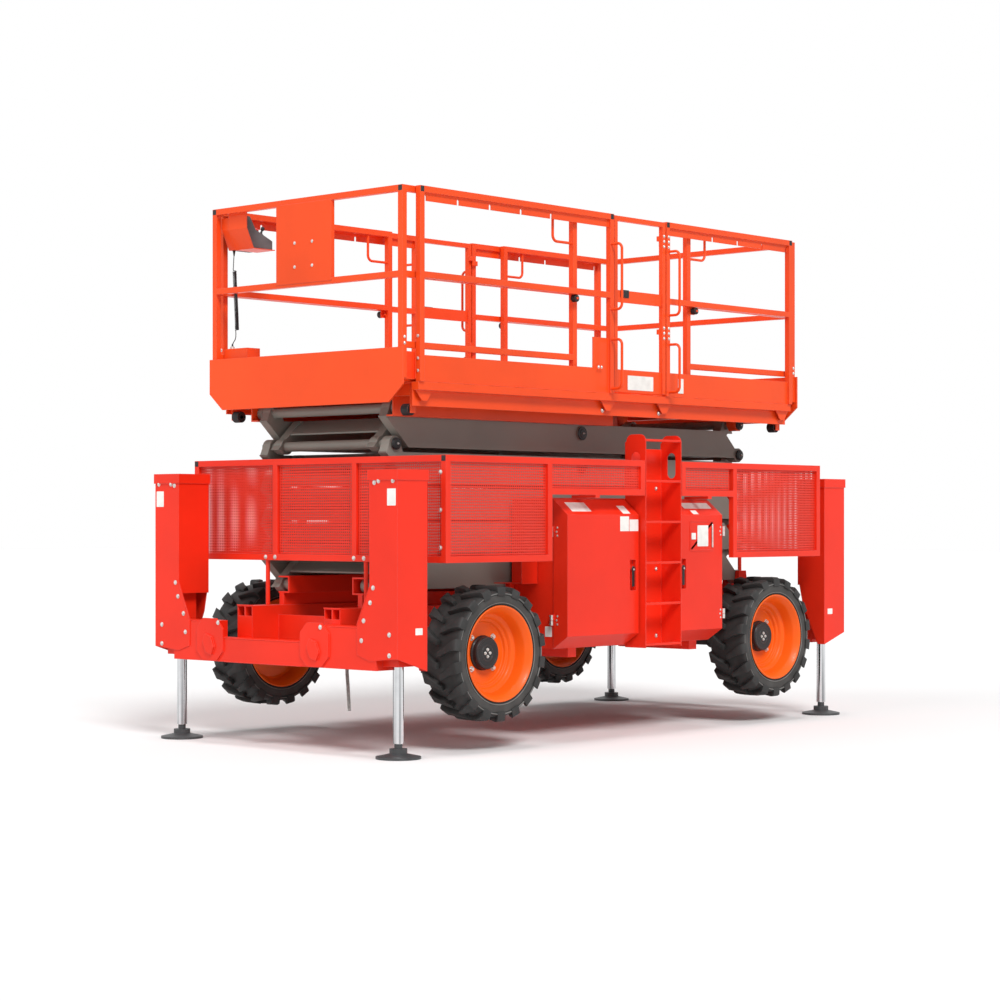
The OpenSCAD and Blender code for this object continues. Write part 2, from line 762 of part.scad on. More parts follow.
// Draws along a lift cylinder: X runs from the barrel's pin towards the rod's pin.
module along_cylinder(level) {
    foot = barrel_pin(level);
    head = rod_pin(level + 1);
    angle = atan2(head[1] - foot[1], head[0] - foot[0]);
    translate([foot[0], 0, foot[1]]) rotate([0, -angle, 0]) children();
}
function cylinder_length(level) = norm(rod_pin(level + 1) - barrel_pin(level));

gland_back = 150;

// Lift cylinder's barrel with the eye at its foot.
module lift_barrel(level) {
    top = cylinder_length(level) - gland_back;
    eye_r = lift_pin_d / 2 + 30;
    color(black) along_cylinder(level) difference() {
        union() {
            rotate([0, 90, 0]) translate([0, 0, 60]) cylinder(d = barrel_d, h = top - 60);
            bar_y([0, 0], eye_r, -eye_w / 2, eye_w / 2);
            block([0, -eye_w / 2, -45], [70, eye_w / 2, 45]);
        }
        bar_y([0, 0], lift_pin_d / 2 + run_fit, -eye_w, eye_w);
        rotate([0, 90, 0]) translate([0, 0, 150]) cylinder(d = rod_d + 2 * run_fit, h = top);
    }
}
module lower_barrel() { lift_barrel(1); }
module upper_barrel() { lift_barrel(3); }

// Lift cylinder's rod with the eye at its head.
module lift_rod(level) {
    long = cylinder_length(level);
    eye_r = lift_pin_d / 2 + 20;
    color(steel) along_cylinder(level) difference() {
        union() {
            rotate([0, 90, 0]) translate([0, 0, 160]) cylinder(d = rod_d, h = long - 160);
            bar_y([long, 0], eye_r, -eye_w / 2, eye_w / 2);
        }
        bar_y([long, 0], lift_pin_d / 2 + run_fit, -eye_w, eye_w);
    }
}
module lower_rod() { lift_rod(1); }
module upper_rod() { lift_rod(3); }

// Cabinet on one side: a hollow box with two door openings and the panel behind the ladder.
module cabinet() {
    y0 = cabinet_y - cabinet_d;
    front = door_front - 5;
    rear = -door_rear + 5;
    ladder_rear = ladder_front - ladder_w;
    frame = 34;
    color(red) union() {
        cabinet_shell(y0, front, rear, ladder_rear, frame);
        for (z = door_hinge_z) {
            hinge_fixed(front_hinge, z);
            block([front, cabinet_y - leaf_t, z], [front_hinge[0], cabinet_y, z + knuckle_h]);
            hinge_fixed(rear_hinge, z);
            block([rear_hinge[0] - leaf_t, cabinet_y - 40, z],
                  [rear_hinge[0] + leaf_t, rear_hinge[1], z + knuckle_h]);
            block([rear_hinge[0] - leaf_t, cabinet_y - 40, z], [rear, cabinet_y - 10, z + knuckle_h]);
        }
    }
}

// The hollow box itself, with a bay and a door opening on each side of the ladder.
module cabinet_shell(y0, front, rear, ladder_rear, frame) {
    difference() {
        block([rear, y0, cabinet_z], [front, cabinet_y, cabinet_top]);
        for (bay = [[ladder_front - 30, front], [rear, ladder_rear + 30]]) {
            block([bay[0] + cabinet_wall, y0 + cabinet_wall, cabinet_z + cabinet_wall],
                  [bay[1] - cabinet_wall, cabinet_y - cabinet_wall, cabinet_top - cabinet_wall]);
            block([bay[0] + frame, y0 + cabinet_wall, cabinet_z + frame],
                  [bay[1] - frame, cabinet_y + 1, cabinet_top - frame]);
        }
    }
}
module cabinet_left() { cabinet(); }
module cabinet_right() { mirror([0, 1, 0]) cabinet(); }

// Engine, as one plain block on the floor of the right-hand cabinet's front bay.
module engine_block() {
    room = 50;
    bay_front = door_front - 5 - cabinet_wall;
    bay_rear = ladder_front - 30 + cabinet_wall;
    color(steel) block([bay_rear + room, -cabinet_y + 40, cabinet_z + cabinet_wall],
                       [bay_front - room, -cabinet_y + cabinet_d - room,
                        cabinet_z + 0.66 * (cabinet_top - cabinet_z)]);
}

// Door tray between two places along the machine, with sloped top and bottom borders.
module door(x0, x1, pocket_x) {
    z0 = cabinet_z + 2;
    z1 = cabinet_top - 8;
    slope = 100;
    pocket = [60, 200];
    pocket_d = 30;
    pocket_z = (cabinet_z + cabinet_top) / 2 - 20;
    outer = [[door_in, z0], [door_in, z1], [door_out, z1 - slope], [door_out, z0 + slope * 0.8]];
    inner = [[door_in - 1, z0 + door_wall * 2], [door_in - 1, z1 - door_wall * 2],
             [door_out - door_wall, z1 - slope - door_wall / 2],
             [door_out - door_wall, z0 + slope * 0.8 + door_wall / 2]];
    difference() {
        union() {
            difference() {
                plate_x(outer, x0, x1);
                plate_x(inner, x0 + door_wall, x1 - door_wall);
            }
            block([pocket_x - pocket[0] / 2 - door_wall, door_out - pocket_d - door_wall,
                   pocket_z - pocket[1] / 2 - door_wall],
                  [pocket_x + pocket[0] / 2 + door_wall, door_out,
                   pocket_z + pocket[1] / 2 + door_wall]);
        }
        block([pocket_x - pocket[0] / 2, door_out - pocket_d, pocket_z - pocket[1] / 2],
              [pocket_x + pocket[0] / 2, door_out + 1, pocket_z + pocket[1] / 2]);
    }
    // paddle in the pocket
    translate([pocket_x - 10, door_out - 16, pocket_z]) latch_paddle(pocket_d - 16);
}

// Paddle latch: a round rosette with a flat handle hanging from it, on a stem of the given depth.
module latch_paddle(stem) {
    handle = [22, 130];
    translate([0, 0, 45]) rotate([90, 0, 0]) cylinder(d = 30, h = stem + 1);
    block([-handle[0] / 2, 0, 60 - handle[1]], [handle[0] / 2, 8, 60]);
}
latch_inset = 58;
door_lap = 12;
swing_gap = 24;
rear_door_end = ladder_front - ladder_w - swing_gap;
module front_door() {
    color(red) union() {
        door(ladder_front + door_lap, door_front, ladder_front + door_lap + latch_inset);
        for (z = door_hinge_z)
            hinge_moving(front_hinge, z)
                block([door_front - door_wall, door_in, z + knuckle_h + roll_gap],
                      [front_hinge[0], door_in + leaf_t, z + 2 * knuckle_h]);
    }
}
module rear_door() {
    color(red) union() {
        door(-door_rear, rear_door_end, rear_door_end - latch_inset);
        for (z = door_hinge_z)
            hinge_moving(rear_hinge, z)
                block([rear_hinge[0], door_out - leaf_t, z + knuckle_h + roll_gap],
                      [-door_rear + door_wall, door_out, z + 2 * knuckle_h]);
    }
}
module door_left_front() { front_door(); }
module door_left_rear() { rear_door(); }
module door_right_front() { mirror([0, 1, 0]) front_door(); }
module door_right_rear() { mirror([0, 1, 0]) rear_door(); }

// Ladders: two stringer plates, a back plate and the rungs, on both sides.
module ladders() {
    sheet = 6;
    rear = ladder_front - ladder_w;
    rung = [60, 14];
    color(red) both_sides() union() {
        for (x = [rear, ladder_front - sheet])
            translate([x, 0, 0]) ladder_stringer(sheet);
        block([rear, cabinet_y, rung_z - 4], [ladder_front, cabinet_y + sheet, ladder_top - 90]);
        for (i = [0 : rungs - 1])
            block([rear, ladder_y - rung[0], rung_z + i * rung_pitch - rung[1] / 2],
                  [ladder_front, ladder_y - 2, rung_z + i * rung_pitch + rung[1] / 2]);
    }
}

module ladder_stringer(sheet) {
    round_r = 48;
    hold = [70, 170];
    hold_z = ladder_top - 200;
    inner = cabinet_y + 10;
    rotate([90, 0, 90]) linear_extrude(sheet) difference() {
        union() {
            translate([cabinet_y, rung_z - 20])
                square([ladder_y - cabinet_y, ladder_top - round_r - rung_z + 20]);
            translate([inner + round_r, ladder_top - round_r - 1])
                square([ladder_y - inner - 2 * round_r, round_r + 1]);
            for (y = [inner + round_r, ladder_y - round_r])
                translate([y, ladder_top - round_r]) circle(r = round_r);
        }
        for (end = [-1, 1])
            translate([(inner + ladder_y) / 2, hold_z + end * (hold[1] - hold[0]) / 2]) circle(d = hold[0]);
        translate([(inner + ladder_y - hold[0]) / 2, hold_z - (hold[1] - hold[0]) / 2])
            square([hold[0], hold[1] - hold[0]]);
    }
}

// Guard frames of square tube: one round the front half and one round the rear half.
module guard_frames() {
    color(orange) {
        guard_half(ladder_front + 6, tall_front);
        rotate(180) guard_half(ladder_w - ladder_front + 6, tall_rear);
    }
}

// One half of the guards, from x0 to the end, with tall panels beyond the step.
module guard_half(x0, step) {
    t = guard_tube;
    post_d = 28;
    union() {
        both_sides() {
            guard_side_tubes(x0, step);
            block([guard_x - t, 0, guard_top - t], [guard_x, guard_y, guard_top]);
            block([guard_x - t, 0, guard_z], [guard_x, guard_y, guard_z + t]);
            block([guard_x - t, divider_y - t / 2, guard_z], [guard_x, divider_y + t / 2, guard_top]);
            translate([guard_x - t / 2, rail_outer - 20, rail_top])
                cylinder(d = post_d, h = guard_z - rail_top);
            block([(x0 + step) / 2, cabinet_y - 30, cabinet_top],
                  [(x0 + step) / 2 + t, guard_y, guard_mid_z]);
        }
    }
}

module guard_side_tubes(x0, step) {
    t = guard_tube;
    y0 = guard_y - t;
    block([x0, y0, guard_top - t], [guard_x, guard_y, guard_top]);
    block([x0, y0, guard_mid_z], [step + t, guard_y, guard_mid_z + t]);
    block([step, y0, guard_z], [guard_x, guard_y, guard_z + t]);
    block([x0, y0, guard_mid_z], [x0 + t, guard_y, guard_top]);
    block([step, y0, guard_z], [step + t, guard_y, guard_top]);
    block([guard_x - t, y0, guard_z], [guard_x, guard_y, guard_top]);
}

// Mesh sheets inside the guards' tubes.
module guard_mesh() {
    color(orange) {
        mesh_half(ladder_front + 6, tall_front);
        rotate(180) mesh_half(ladder_w - ladder_front + 6, tall_rear);
    }
}

module mesh_half(x0, step) {
    t = guard_tube;
    y0 = guard_y - (t + mesh_t) / 2;
    x1 = guard_x - (t + mesh_t) / 2;
    low = guard_z + t;
    top = guard_top - t;
    panels = [[-guard_y + t, -divider_y - t / 2], [-divider_y + t / 2, divider_y - t / 2],
              [divider_y + t / 2, guard_y - t]];
    both_sides() {
        translate([0, y0 + mesh_t, 0]) rotate([90, 0, 0]) {
            mesh_sheet([x0 + t, guard_mid_z + t], [step, top]);
            mesh_sheet([step + t, low], [guard_x - t, top]);
        }
    }
    for (p = panels)
        translate([x1, 0, 0]) rotate([90, 0, 90]) mesh_sheet([p[0], low], [p[1], top]);
}

// A sheet of mesh between two corners: square holes with wires between them.
module mesh_sheet(lo, hi) {
    size = hi - lo;
    nx = round(size[0] / mesh_pitch);
    ny = round(size[1] / mesh_pitch);
    hole = [(size[0] - mesh_wire) / nx - mesh_wire, (size[1] - mesh_wire) / ny - mesh_wire];
    translate(lo) linear_extrude(mesh_t) difference() {
        square(size);
        for (i = [0 : nx - 1], j = [0 : ny - 1])
            translate([mesh_wire + i * (hole[0] + mesh_wire), mesh_wire + j * (hole[1] + mesh_wire)])
                square(hole);
    }
}

// Main deck: floor sheet, channel sides, cross members, roller tracks and rear pivot ears.
module platform_deck() {
    lip = 50;
    web = 10;
    side_out = rail_y + 5;
    low = pins_at(5);
    cross_low = low + lug_d / 2 + 15;
    track_x0 = mid_x - 250;
    track_x1 = pin_front + roller_r + 40;
    half = roller_r + roll_gap;
    track_y = outer_end + move_gap + roller_w + 4;
    ear_half = 46;
    zp = pins_at(5);
    gussets = [-deck_x + 75, -gate_rear, gate_front, deck_x - 75];
    color(orange) difference() {
        union() {
            block([-deck_x, -side_out, floor_z - floor_t], [deck_x, side_out, floor_z]);
            both_sides() {
                plate_x([[side_out - lip - web, low], [side_out - lip, low], [side_out - lip, floor_z - lip],
                         [side_out, floor_z - lip], [side_out, floor_z], [side_out - lip - web, floor_z]],
                        -deck_x, deck_x);
                block([track_x0, track_y, zp - half - track_wall],
                      [track_x1, track_y + track_wall, floor_z - 1]);
                for (lift = [-half - track_wall, half])
                    block([track_x0, outer_end + move_gap, zp + lift],
                          [track_x1, track_y + 1, zp + lift + track_wall]);
                plate_y([[-pin_rear - ear_half, zp - 10], [-pin_rear - 20, zp - 44],
                         [-pin_rear + 20, zp - 44],
                         [-pin_rear + ear_half, zp - 10], [-pin_rear + ear_half + 30, floor_z - 1],
                         [-pin_rear - ear_half - 30, floor_z - 1]], outer_y, outer_end);
            }
            both_sides() for (x = gussets)
                deck_gusset(x, side_out, lip, low);
            both_ends() both_sides() deck_roller(deck_x - 40);
            for (x = [-deck_x + 60, -900, 0, 900, deck_x - 60])
                block([x - 30, -side_out + lip, cross_low], [x + 30, side_out - lip, floor_z - 1]);
        }
        both_sides() bar_y([-pin_rear, zp], pin_r + run_fit, outer_y - 1, outer_end + 1);
    }
}

// Bracket under the lip of the deck's side: a leaning-edged plate with a rib behind it.
module deck_gusset(x, side_out, lip, low) {
    t = 6;
    half_top = 75;
    half_low = 22;
    inset = 22;
    plate_y([[x - half_top, floor_z - lip + 1], [x + half_top, floor_z - lip + 1],
             [x + half_low, low + 30], [x - half_low, low + 30]], side_out - inset - t, side_out - inset);
    block([x - t / 2, side_out - lip - 1, low + 30], [x + t / 2, side_out - inset, floor_z - lip + 1]);
}

// Roller that steadies an extension deck, on a bracket under the main deck's end.
module deck_roller(x) {
    r = deck_roller_d / 2;
    y0 = 745;
    z = pins_at(5) - 20;
    bar_y([x, z], r, y0, y0 + 60);
    bar_y([x, z], 12, y0 - 1, y0 + 75);
    block([x - 22, y0 + 67, z - 22], [x + 22, y0 + 75, floor_z - 1]);
}

// Square tube along X, Y or Z with its middle on a line.
module tube_x(x0, x1, y, z) { block([x0, y - tube / 2, z - tube / 2], [x1, y + tube / 2, z + tube / 2]); }
module tube_y(x, y0, y1, z) { block([x - tube / 2, y0, z - tube / 2], [x + tube / 2, y1, z + tube / 2]); }
module tube_z(x, y, z0, z1) { block([x - tube / 2, y - tube / 2, z0], [x + tube / 2, y + tube / 2, z1]); }

// Side rails of the main deck: a frame of tube before and behind each gate, with toe boards.
module platform_rails() {
    strip_end = 58;
    corner = [180, 200];
    low_bar = [floor_z + 20, floor_z + 360];
    high_bar = [floor_z + 540, hand_z - 190];
    color(orange) both_sides() {
        side_rail(gate_front, deck_x - tube / 2, deck_x - strip_end, -1);
        side_rail(-deck_x + tube / 2, -gate_rear, -deck_x + strip_end, 1);
        for (x = [gate_front + grab_d / 2, -gate_rear - grab_d / 2], span = [low_bar, high_bar])
            grab_bar([x, rail_y], span[0], span[1], 108);
        for (z = gate_hinge_z) {
            hinge_fixed(gate_hinge, z);
            block([-gate_rear - tube / 2, gate_hinge[1] - leaf_t / 2, z],
                  [gate_hinge[0], rail_y - tube / 2, z + knuckle_h]);
        }
        // corner plate between the toe board and the post
        block([gate_front, rail_y - toe_t / 2, toe_z - 20],
              [gate_front + corner[0], rail_y + toe_t / 2, toe_z + corner[1]]);
    }
}

module side_rail(x0, x1, notch_x, way) {
    strip_t = 6;
    strip_h = 50;
    notch = [20, 34];
    count = floor((x1 - x0 - 60) / notch_pitch);
    union() {
        for (x = [x0, x1])
            tube_z(x, rail_y, floor_z, hand_z);
        for (z = [hand_z - tube / 2, mid_rail_z])
            tube_x(x0, x1, rail_y, z);
        block([x0, rail_y - toe_t / 2, floor_z], [x1, rail_y + toe_t / 2, toe_z]);
        difference() {
            block([x0, rail_y - strip_t / 2, hand_low - strip_h], [x1, rail_y + strip_t / 2, hand_low]);
            for (i = [0 : count - 1]) {
                x = notch_x + way * i * notch_pitch;
                block([x - notch[0] / 2, rail_y - strip_t, hand_low - strip_h - 1],
                      [x + notch[0] / 2, rail_y + strip_t, hand_low - strip_h + notch[1] - notch[0] / 2]);
                bar_y([x, hand_low - strip_h + notch[1] - notch[0] / 2], notch[0] / 2,
                      rail_y - strip_t, rail_y + strip_t);
            }
        }
    }
}

// Gate between the posts: a light frame with a mid plate and a toe plate, hinged at its rear.
module gate() {
    x0 = -gate_rear + tube / 2 + gate_gap;
    x1 = gate_front - tube / 2 - gate_gap;
    bar = 32;
    low = floor_z + 12;
    color(orange) union() {
        for (x = [x0, x1 - bar])
            block([x, rail_y - bar / 2, low], [x + bar, rail_y + bar / 2, hand_z - 6]);
        block([x0, rail_y - bar / 2, hand_z - 6 - bar], [x1, rail_y + bar / 2, hand_z - 6]);
        block([x0, rail_y - 5, mid_rail_z - 40], [x1, rail_y + 5, mid_rail_z + 40]);
        block([x0, rail_y - toe_t / 2, low], [x1, rail_y + toe_t / 2, toe_z]);
        for (z = gate_hinge_z)
            hinge_moving(gate_hinge, z)
                block([gate_hinge[0], gate_hinge[1] - leaf_t / 2, z + knuckle_h + roll_gap],
                      [x0 + bar, rail_y - bar / 2, z + 2 * knuckle_h]);
    }
}
module gate_left() { gate(); }
module gate_right() { mirror([0, 1, 0]) gate(); }

runner_h = 13;
sheet_z = floor_z + roll_gap + runner_h;

// Sliding deck that reaches from its inner end to the end plate, drawn towards +X.
module extension_deck(inner) {
    plate_t = 12;
    half = slide_y + tube / 2 + 16;
    cut = 125;
    side_low = floor_z - 20;
    color(orange) union() {
        block([inner, -slide_y - 10, sheet_z], [end_x - 1, slide_y + 10, sheet_z + floor_t]);
        both_sides()
            block([inner, slide_y - 60, floor_z + roll_gap], [end_x - plate_t, slide_y - 20, sheet_z]);
        plate_x([[-half, end_plate_z], [-half, side_low], [-half + cut, end_plate_low],
                 [half - cut, end_plate_low], [half, side_low], [half, end_plate_z]],
                end_x - plate_t, end_x);
    }
}
module front_extension_deck() {
    extension_deck(front_inner);
    color(orange) block([lead_x - 55, box_y0, sheet_z], [lead_x + 55, box_y1, socket_top]);
}
module rear_extension_deck() { rotate(180) extension_deck(rear_inner); }

// Rails of a sliding deck: both sides and the end, with a loop handle at each inner post.
module extension_rails(inner) {
    low_rail_z = toe_z + 60;
    x0 = inner + tube / 2;
    x1 = end_x - 12 - tube / 2;
    color(orange) union() {
        both_sides() {
            for (x = [x0, x1])
                tube_z(x, slide_y, sheet_z + floor_t, hand_z);
            for (z = [hand_z - tube / 2, mid_rail_z, low_rail_z])
                tube_x(x0, x1, slide_y, z);
            loop_handle(x0);
            guide_roller(x0 + 30);
        }
        for (z = [hand_z - tube / 2, mid_rail_z])
            tube_y(x1, -slide_y, slide_y, z);
    }
}

// Bent handle between the top rail and the inner post.
module loop_handle(x0) {
    r = grab_d / 2;
    reach = 200;
    drop = 180;
    bend = 40;
    z = hand_low - drop;
    translate([x0 + reach, slide_y, z + bend]) cylinder(r = r, h = drop - bend + 1);
    translate([x0, slide_y, z]) rotate([0, 90, 0]) cylinder(r = r, h = reach - bend);
    translate([x0 + reach - bend, slide_y, z + bend]) rotate([90, 0, 0])
        rotate_extrude(angle = -90) translate([bend, 0]) circle(r = r);
}

// Roller that runs under the main deck's mid rail, on a bracket at the inner post.
module guide_roller(x) {
    r = 20;
    z = mid_rail_z - tube / 2 - r - 6;
    bar_y([x, z], r, slide_y + tube / 2 + 8, rail_y + 12);
    bar_y([x, z], 8, slide_y, rail_y + 18);
    block([x - 40, slide_y + tube / 2 - 1, z - 24], [x + 24, slide_y + tube / 2 + 6, mid_rail_z]);
}
module front_extension_rails() {
    extension_rails(front_inner);
    color(orange) union() {
        document_plate();
        console_hood();
    }
}

// Tray for papers on the end rail, folded back along its two sides.
module document_plate() {
    half = 252;
    t = 4;
    fold = 25;
    x = end_x - 12;
    block([x - 1, -half, mid_rail_z], [x - 1 + t, half, hand_low + 6]);
    both_sides() block([x - fold, half - t, mid_rail_z + tube / 2 + 1], [x, half, hand_low - 1]);
}

// Bent sheet under the end rail that holds the control box.
module console_hood() {
    t = 5;
    bend_z = hand_low - 100;
    plate_y([[console_x, hand_low + 2], [console_x, bend_z], [console_x - 60, box_low],
             [console_x - console_d, box_low], [console_x - console_d, box_low + t],
             [console_x - 60 - t / 2, box_low + t], [console_x - t, bend_z + 2],
             [console_x - t, hand_low + 2]],
            box_y0 + 70, box_y1 + 20);
}
module rear_extension_rails() { rotate(180) extension_rails(rear_inner); }

// Operator's control box with its hood, on the end rail, and the socket box of its lead on the deck.
box_y0 = -825;
box_y1 = -600;
box_low = hand_z - 264;
console_x = end_x - 12 - tube;
console_d = 245;
socket_top = floor_z + 275;
lead_x = console_x - 77;
module control_box() {
    gap = 0.5;
    low = box_low + 5 + gap;
    back = console_x - 5 - gap;
    color(black) plate_y([[back, hand_low - 20], [back, hand_low - 96], [back - 60, low],
                          [console_x - console_d + 6, low], [console_x - console_d + 6, low + 56],
                          [back - 90, low + 120], [back - 40, hand_low - 20]], box_y0, box_y1);
}

// Curly lead from the control box down to the socket box: plain ends and a fat middle.
lead_r = 4;
coil_r = 13.5;
lead_top = box_low + 5.5;
lead_drop = lead_top - socket_top;
// Points of the lead, as a distance across and a share of its drop
lead_points = [[-790, 1], [-790, 0.906], [-788, 0.828], [-786, 0.797], [-780, 0.641], [-772, 0.484],
               [-765, 0.328], [-761, 0.188], [-762, 0.153], [-768, 0.119], [-780, 0.094], [-794, 0.075],
               [-803, 0.05], [-806, 0.025], [-806, 0]];
lead_route = [for (p = lead_points) [lead_x, p[0], socket_top + p[1] * lead_drop]];
coil_first = 3;
coil_last = 7;

function unit(v) = v / norm(v);
function tangent(path, i) = unit(path[min(i + 1, len(path) - 1)] - path[max(i - 1, 0)]);

// A closed tube along a path that lies in a plane of constant X; each point has its own radius.
module swept_tube(path, radii, sides) {
    rings = len(path);
    points = [for (i = [0 : rings - 1], s = [0 : sides - 1])
        let (t = tangent(path, i), a = 360 * s / sides, u = [1, 0, 0], v = cross(t, u))
        path[i] + radii[i] * (cos(a) * u + sin(a) * v)];
    walls = [for (i = [0 : rings - 2], s = [0 : sides - 1])
        [i * sides + s, i * sides + (s + 1) % sides, (i + 1) * sides + (s + 1) % sides, (i + 1) * sides + s]];
    caps = [[for (s = [sides - 1 : -1 : 0]) s], [for (s = [0 : sides - 1]) (rings - 1) * sides + s]];
    polyhedron(points, concat(walls, caps), convexity = 4);
}

module control_cord() {
    radii = [for (i = [0 : len(lead_route) - 1]) i >= coil_first && i <= coil_last ? coil_r : lead_r];
    color(black) swept_tube(lead_route, radii, 8);
}

chassis_frame();
outrigger_beams();
jack_columns();
front_axle();
rear_axle();
guard_frames();
guard_mesh();
cabinet_left();
cabinet_right();
engine_block();
ladders();
door_left_front();
door_left_rear();
door_right_front();
door_right_rear();
knuckle_left();
knuckle_right();
tie_rod();
tyre_front_left();
tyre_front_right();
tyre_rear_left();
tyre_rear_right();
rim_front_left();
rim_front_right();
rim_rear_left();
rim_rear_right();
jack_front_left();
jack_front_right();
jack_rear_left();
jack_rear_right();
inner_arms_1();
inner_arms_2();
inner_arms_3();
inner_arms_4();
inner_arms_5();
outer_arms_1();
outer_arms_2();
outer_arms_3();
outer_arms_4();
outer_arms_5();
lower_barrel();
lower_rod();
upper_barrel();
upper_rod();
platform_deck();
platform_rails();
gate_left();
gate_right();
front_extension_deck();
front_extension_rails();
rear_extension_deck();
rear_extension_rails();
control_box();
control_cord();
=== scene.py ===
import math

import bpy
from mathutils import Matrix, Vector


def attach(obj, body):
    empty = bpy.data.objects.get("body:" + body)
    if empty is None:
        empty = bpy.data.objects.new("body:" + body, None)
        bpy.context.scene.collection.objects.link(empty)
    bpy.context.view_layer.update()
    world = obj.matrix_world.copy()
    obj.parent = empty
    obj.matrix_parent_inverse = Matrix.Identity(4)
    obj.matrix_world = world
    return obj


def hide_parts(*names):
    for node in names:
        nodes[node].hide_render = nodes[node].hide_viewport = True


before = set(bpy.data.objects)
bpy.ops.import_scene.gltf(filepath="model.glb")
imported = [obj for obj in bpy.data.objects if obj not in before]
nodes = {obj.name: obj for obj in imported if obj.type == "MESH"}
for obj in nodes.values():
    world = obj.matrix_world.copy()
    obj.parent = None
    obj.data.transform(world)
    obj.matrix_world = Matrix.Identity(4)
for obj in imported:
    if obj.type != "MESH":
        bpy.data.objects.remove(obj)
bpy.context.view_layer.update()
bpy.context.scene.view_settings.view_transform = "Standard"

# Camera: a standing person's height, off the front left corner, with a long lens held level.
# The lens is shifted up a little, so that the machine sits just above the middle of the frame.
camera_place = (11.975, 10.799, 1.408)
camera_heading = math.radians(222.53)
bpy.ops.object.camera_add(location=camera_place,
                          rotation=(math.pi / 2, 0, camera_heading - math.pi / 2))
camera = bpy.context.object
camera.data.sensor_width = 36
camera.data.lens = 84.44
camera.data.shift_y = 0.0204
camera.data.clip_end = 300
bpy.context.scene.camera = camera

# Lead of the control box: a thin round cable with a curly middle stretch, moulded in black rubber.
# It drops from the underside of the control box to the socket box on the floor of the front deck.
lead_x = 1.900
lead_top = 3.1655
lead_low = 2.520
lead_d = 0.0056
coil_outer_d = 0.027
lead_points = [(-0.790, 1), (-0.790, 0.906), (-0.788, 0.828), (-0.786, 0.797), (-0.780, 0.641),
               (-0.772, 0.484), (-0.765, 0.328), (-0.761, 0.188), (-0.762, 0.153), (-0.768, 0.119),
               (-0.780, 0.094), (-0.794, 0.075), (-0.803, 0.05), (-0.806, 0.025), (-0.806, 0)]
lead_route = [Vector((lead_x, y, lead_low + share * (lead_top - lead_low))) for y, share in lead_points]
coil_first = 3
coil_last = 7
coil_turns = 58
steps_per_turn = 14


def smooth_run(points, per):
    """Points of a smooth curve through a run of points, some for each stretch."""
    run = []
    padded = [2 * points[0] - points[1]] + points + [2 * points[-1] - points[-2]]
    for a, b, c, d in zip(padded, padded[1:], padded[2:], padded[3:]):
        for step in range(per):
            t = step / per
            run.append(0.5 * (2 * b + (c - a) * t + (2 * a - 5 * b + 4 * c - d) * t ** 2
                              + (3 * b - a - 3 * c + d) * t ** 3))
    return run + [points[-1].copy()]


# The coil winds up slowly at its two ends, so that the cable never kinks where it starts to turn.
coil_r = (coil_outer_d - lead_d) / 2
coil_steps = coil_turns * steps_per_turn
coil_ease = 0.045
route_steps = 60
kept_step = 15
unwind_steps = 4 * route_steps
route = smooth_run(lead_route, route_steps)
coil_from = coil_first * route_steps
coil_to = coil_last * route_steps
lead_line = []
for i, place in enumerate(route[:coil_from]):
    aside = i / coil_from
    if i % kept_step == 0:
        lead_line.append(place + Vector((coil_r * aside * aside * (3 - 2 * aside), 0, 0)))
angle = 0
for i in range(coil_steps + 1):
    share = i / coil_steps
    along = coil_from + share * (coil_to - coil_from)
    place = route[int(along)].lerp(route[min(int(along) + 1, coil_to)], along % 1)
    lead_line.append(place + coil_r * Vector((math.cos(angle), math.sin(angle), 0)))
    speed = min(1, share / coil_ease, (1 - share) / coil_ease)
    angle += math.tau * coil_turns / (coil_steps * (1 - coil_ease)) * max(0, speed)
rest = route[coil_to:]
for i, place in enumerate(rest):
    aside = max(0, 1 - i / unwind_steps)
    if i % kept_step == 0 and i:
        side = Vector((math.cos(angle), math.sin(angle), 0))
        lead_line.append(place + coil_r * aside * aside * (3 - 2 * aside) * side)
bpy.ops.curve.primitive_bezier_curve_add()
lead = bpy.context.object
lead.name = "curly_lead"
lead.data.splines.clear()
lead_spline = lead.data.splines.new("POLY")
lead_spline.points.add(len(lead_line) - 1)
for spline_point, place in zip(lead_spline.points, lead_line):
    spline_point.co = (*place, 1)
lead.data.dimensions = "3D"
lead.data.bevel_depth = lead_d / 2
lead.data.bevel_resolution = 2
lead.data.use_fill_caps = True
bpy.ops.object.select_all(action="DESELECT")
lead.select_set(True)
bpy.context.view_layer.objects.active = lead
bpy.ops.object.convert(target="MESH")
lead = bpy.context.object
bpy.ops.object.shade_smooth()
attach(lead, "front_extension")
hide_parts("control_cord")


def bare_finish(name):
    """A new finish: its material, its nodes, its shader and the piece's own coordinates."""
    material = bpy.data.materials.new(name)
    material.use_nodes = True
    tree = material.node_tree
    place = tree.nodes.new("ShaderNodeTexCoord").outputs["Object"]
    return material, tree, tree.nodes["Principled BSDF"], place


def mottle(tree, place, scale, detail):
    """Soft noise on a piece's coordinates."""
    noise = tree.nodes.new("ShaderNodeTexNoise")
    noise.inputs["Scale"].default_value = scale
    noise.inputs["Detail"].default_value = detail
    tree.links.new(place, noise.inputs["Vector"])
    return noise.outputs["Fac"]


def blend(tree, source, low, low_colour, high, high_colour):
    """A colour that goes from one to another between two values of what drives it."""
    ramp = tree.nodes.new("ShaderNodeValToRGB")
    first = ramp.color_ramp.elements[0]
    first.position = low
    first.color = (*low_colour, 1)
    last = ramp.color_ramp.elements[1]
    last.position = high
    last.color = (*high_colour, 1)
    tree.links.new(source, ramp.inputs["Fac"])
    return ramp.outputs["Color"]


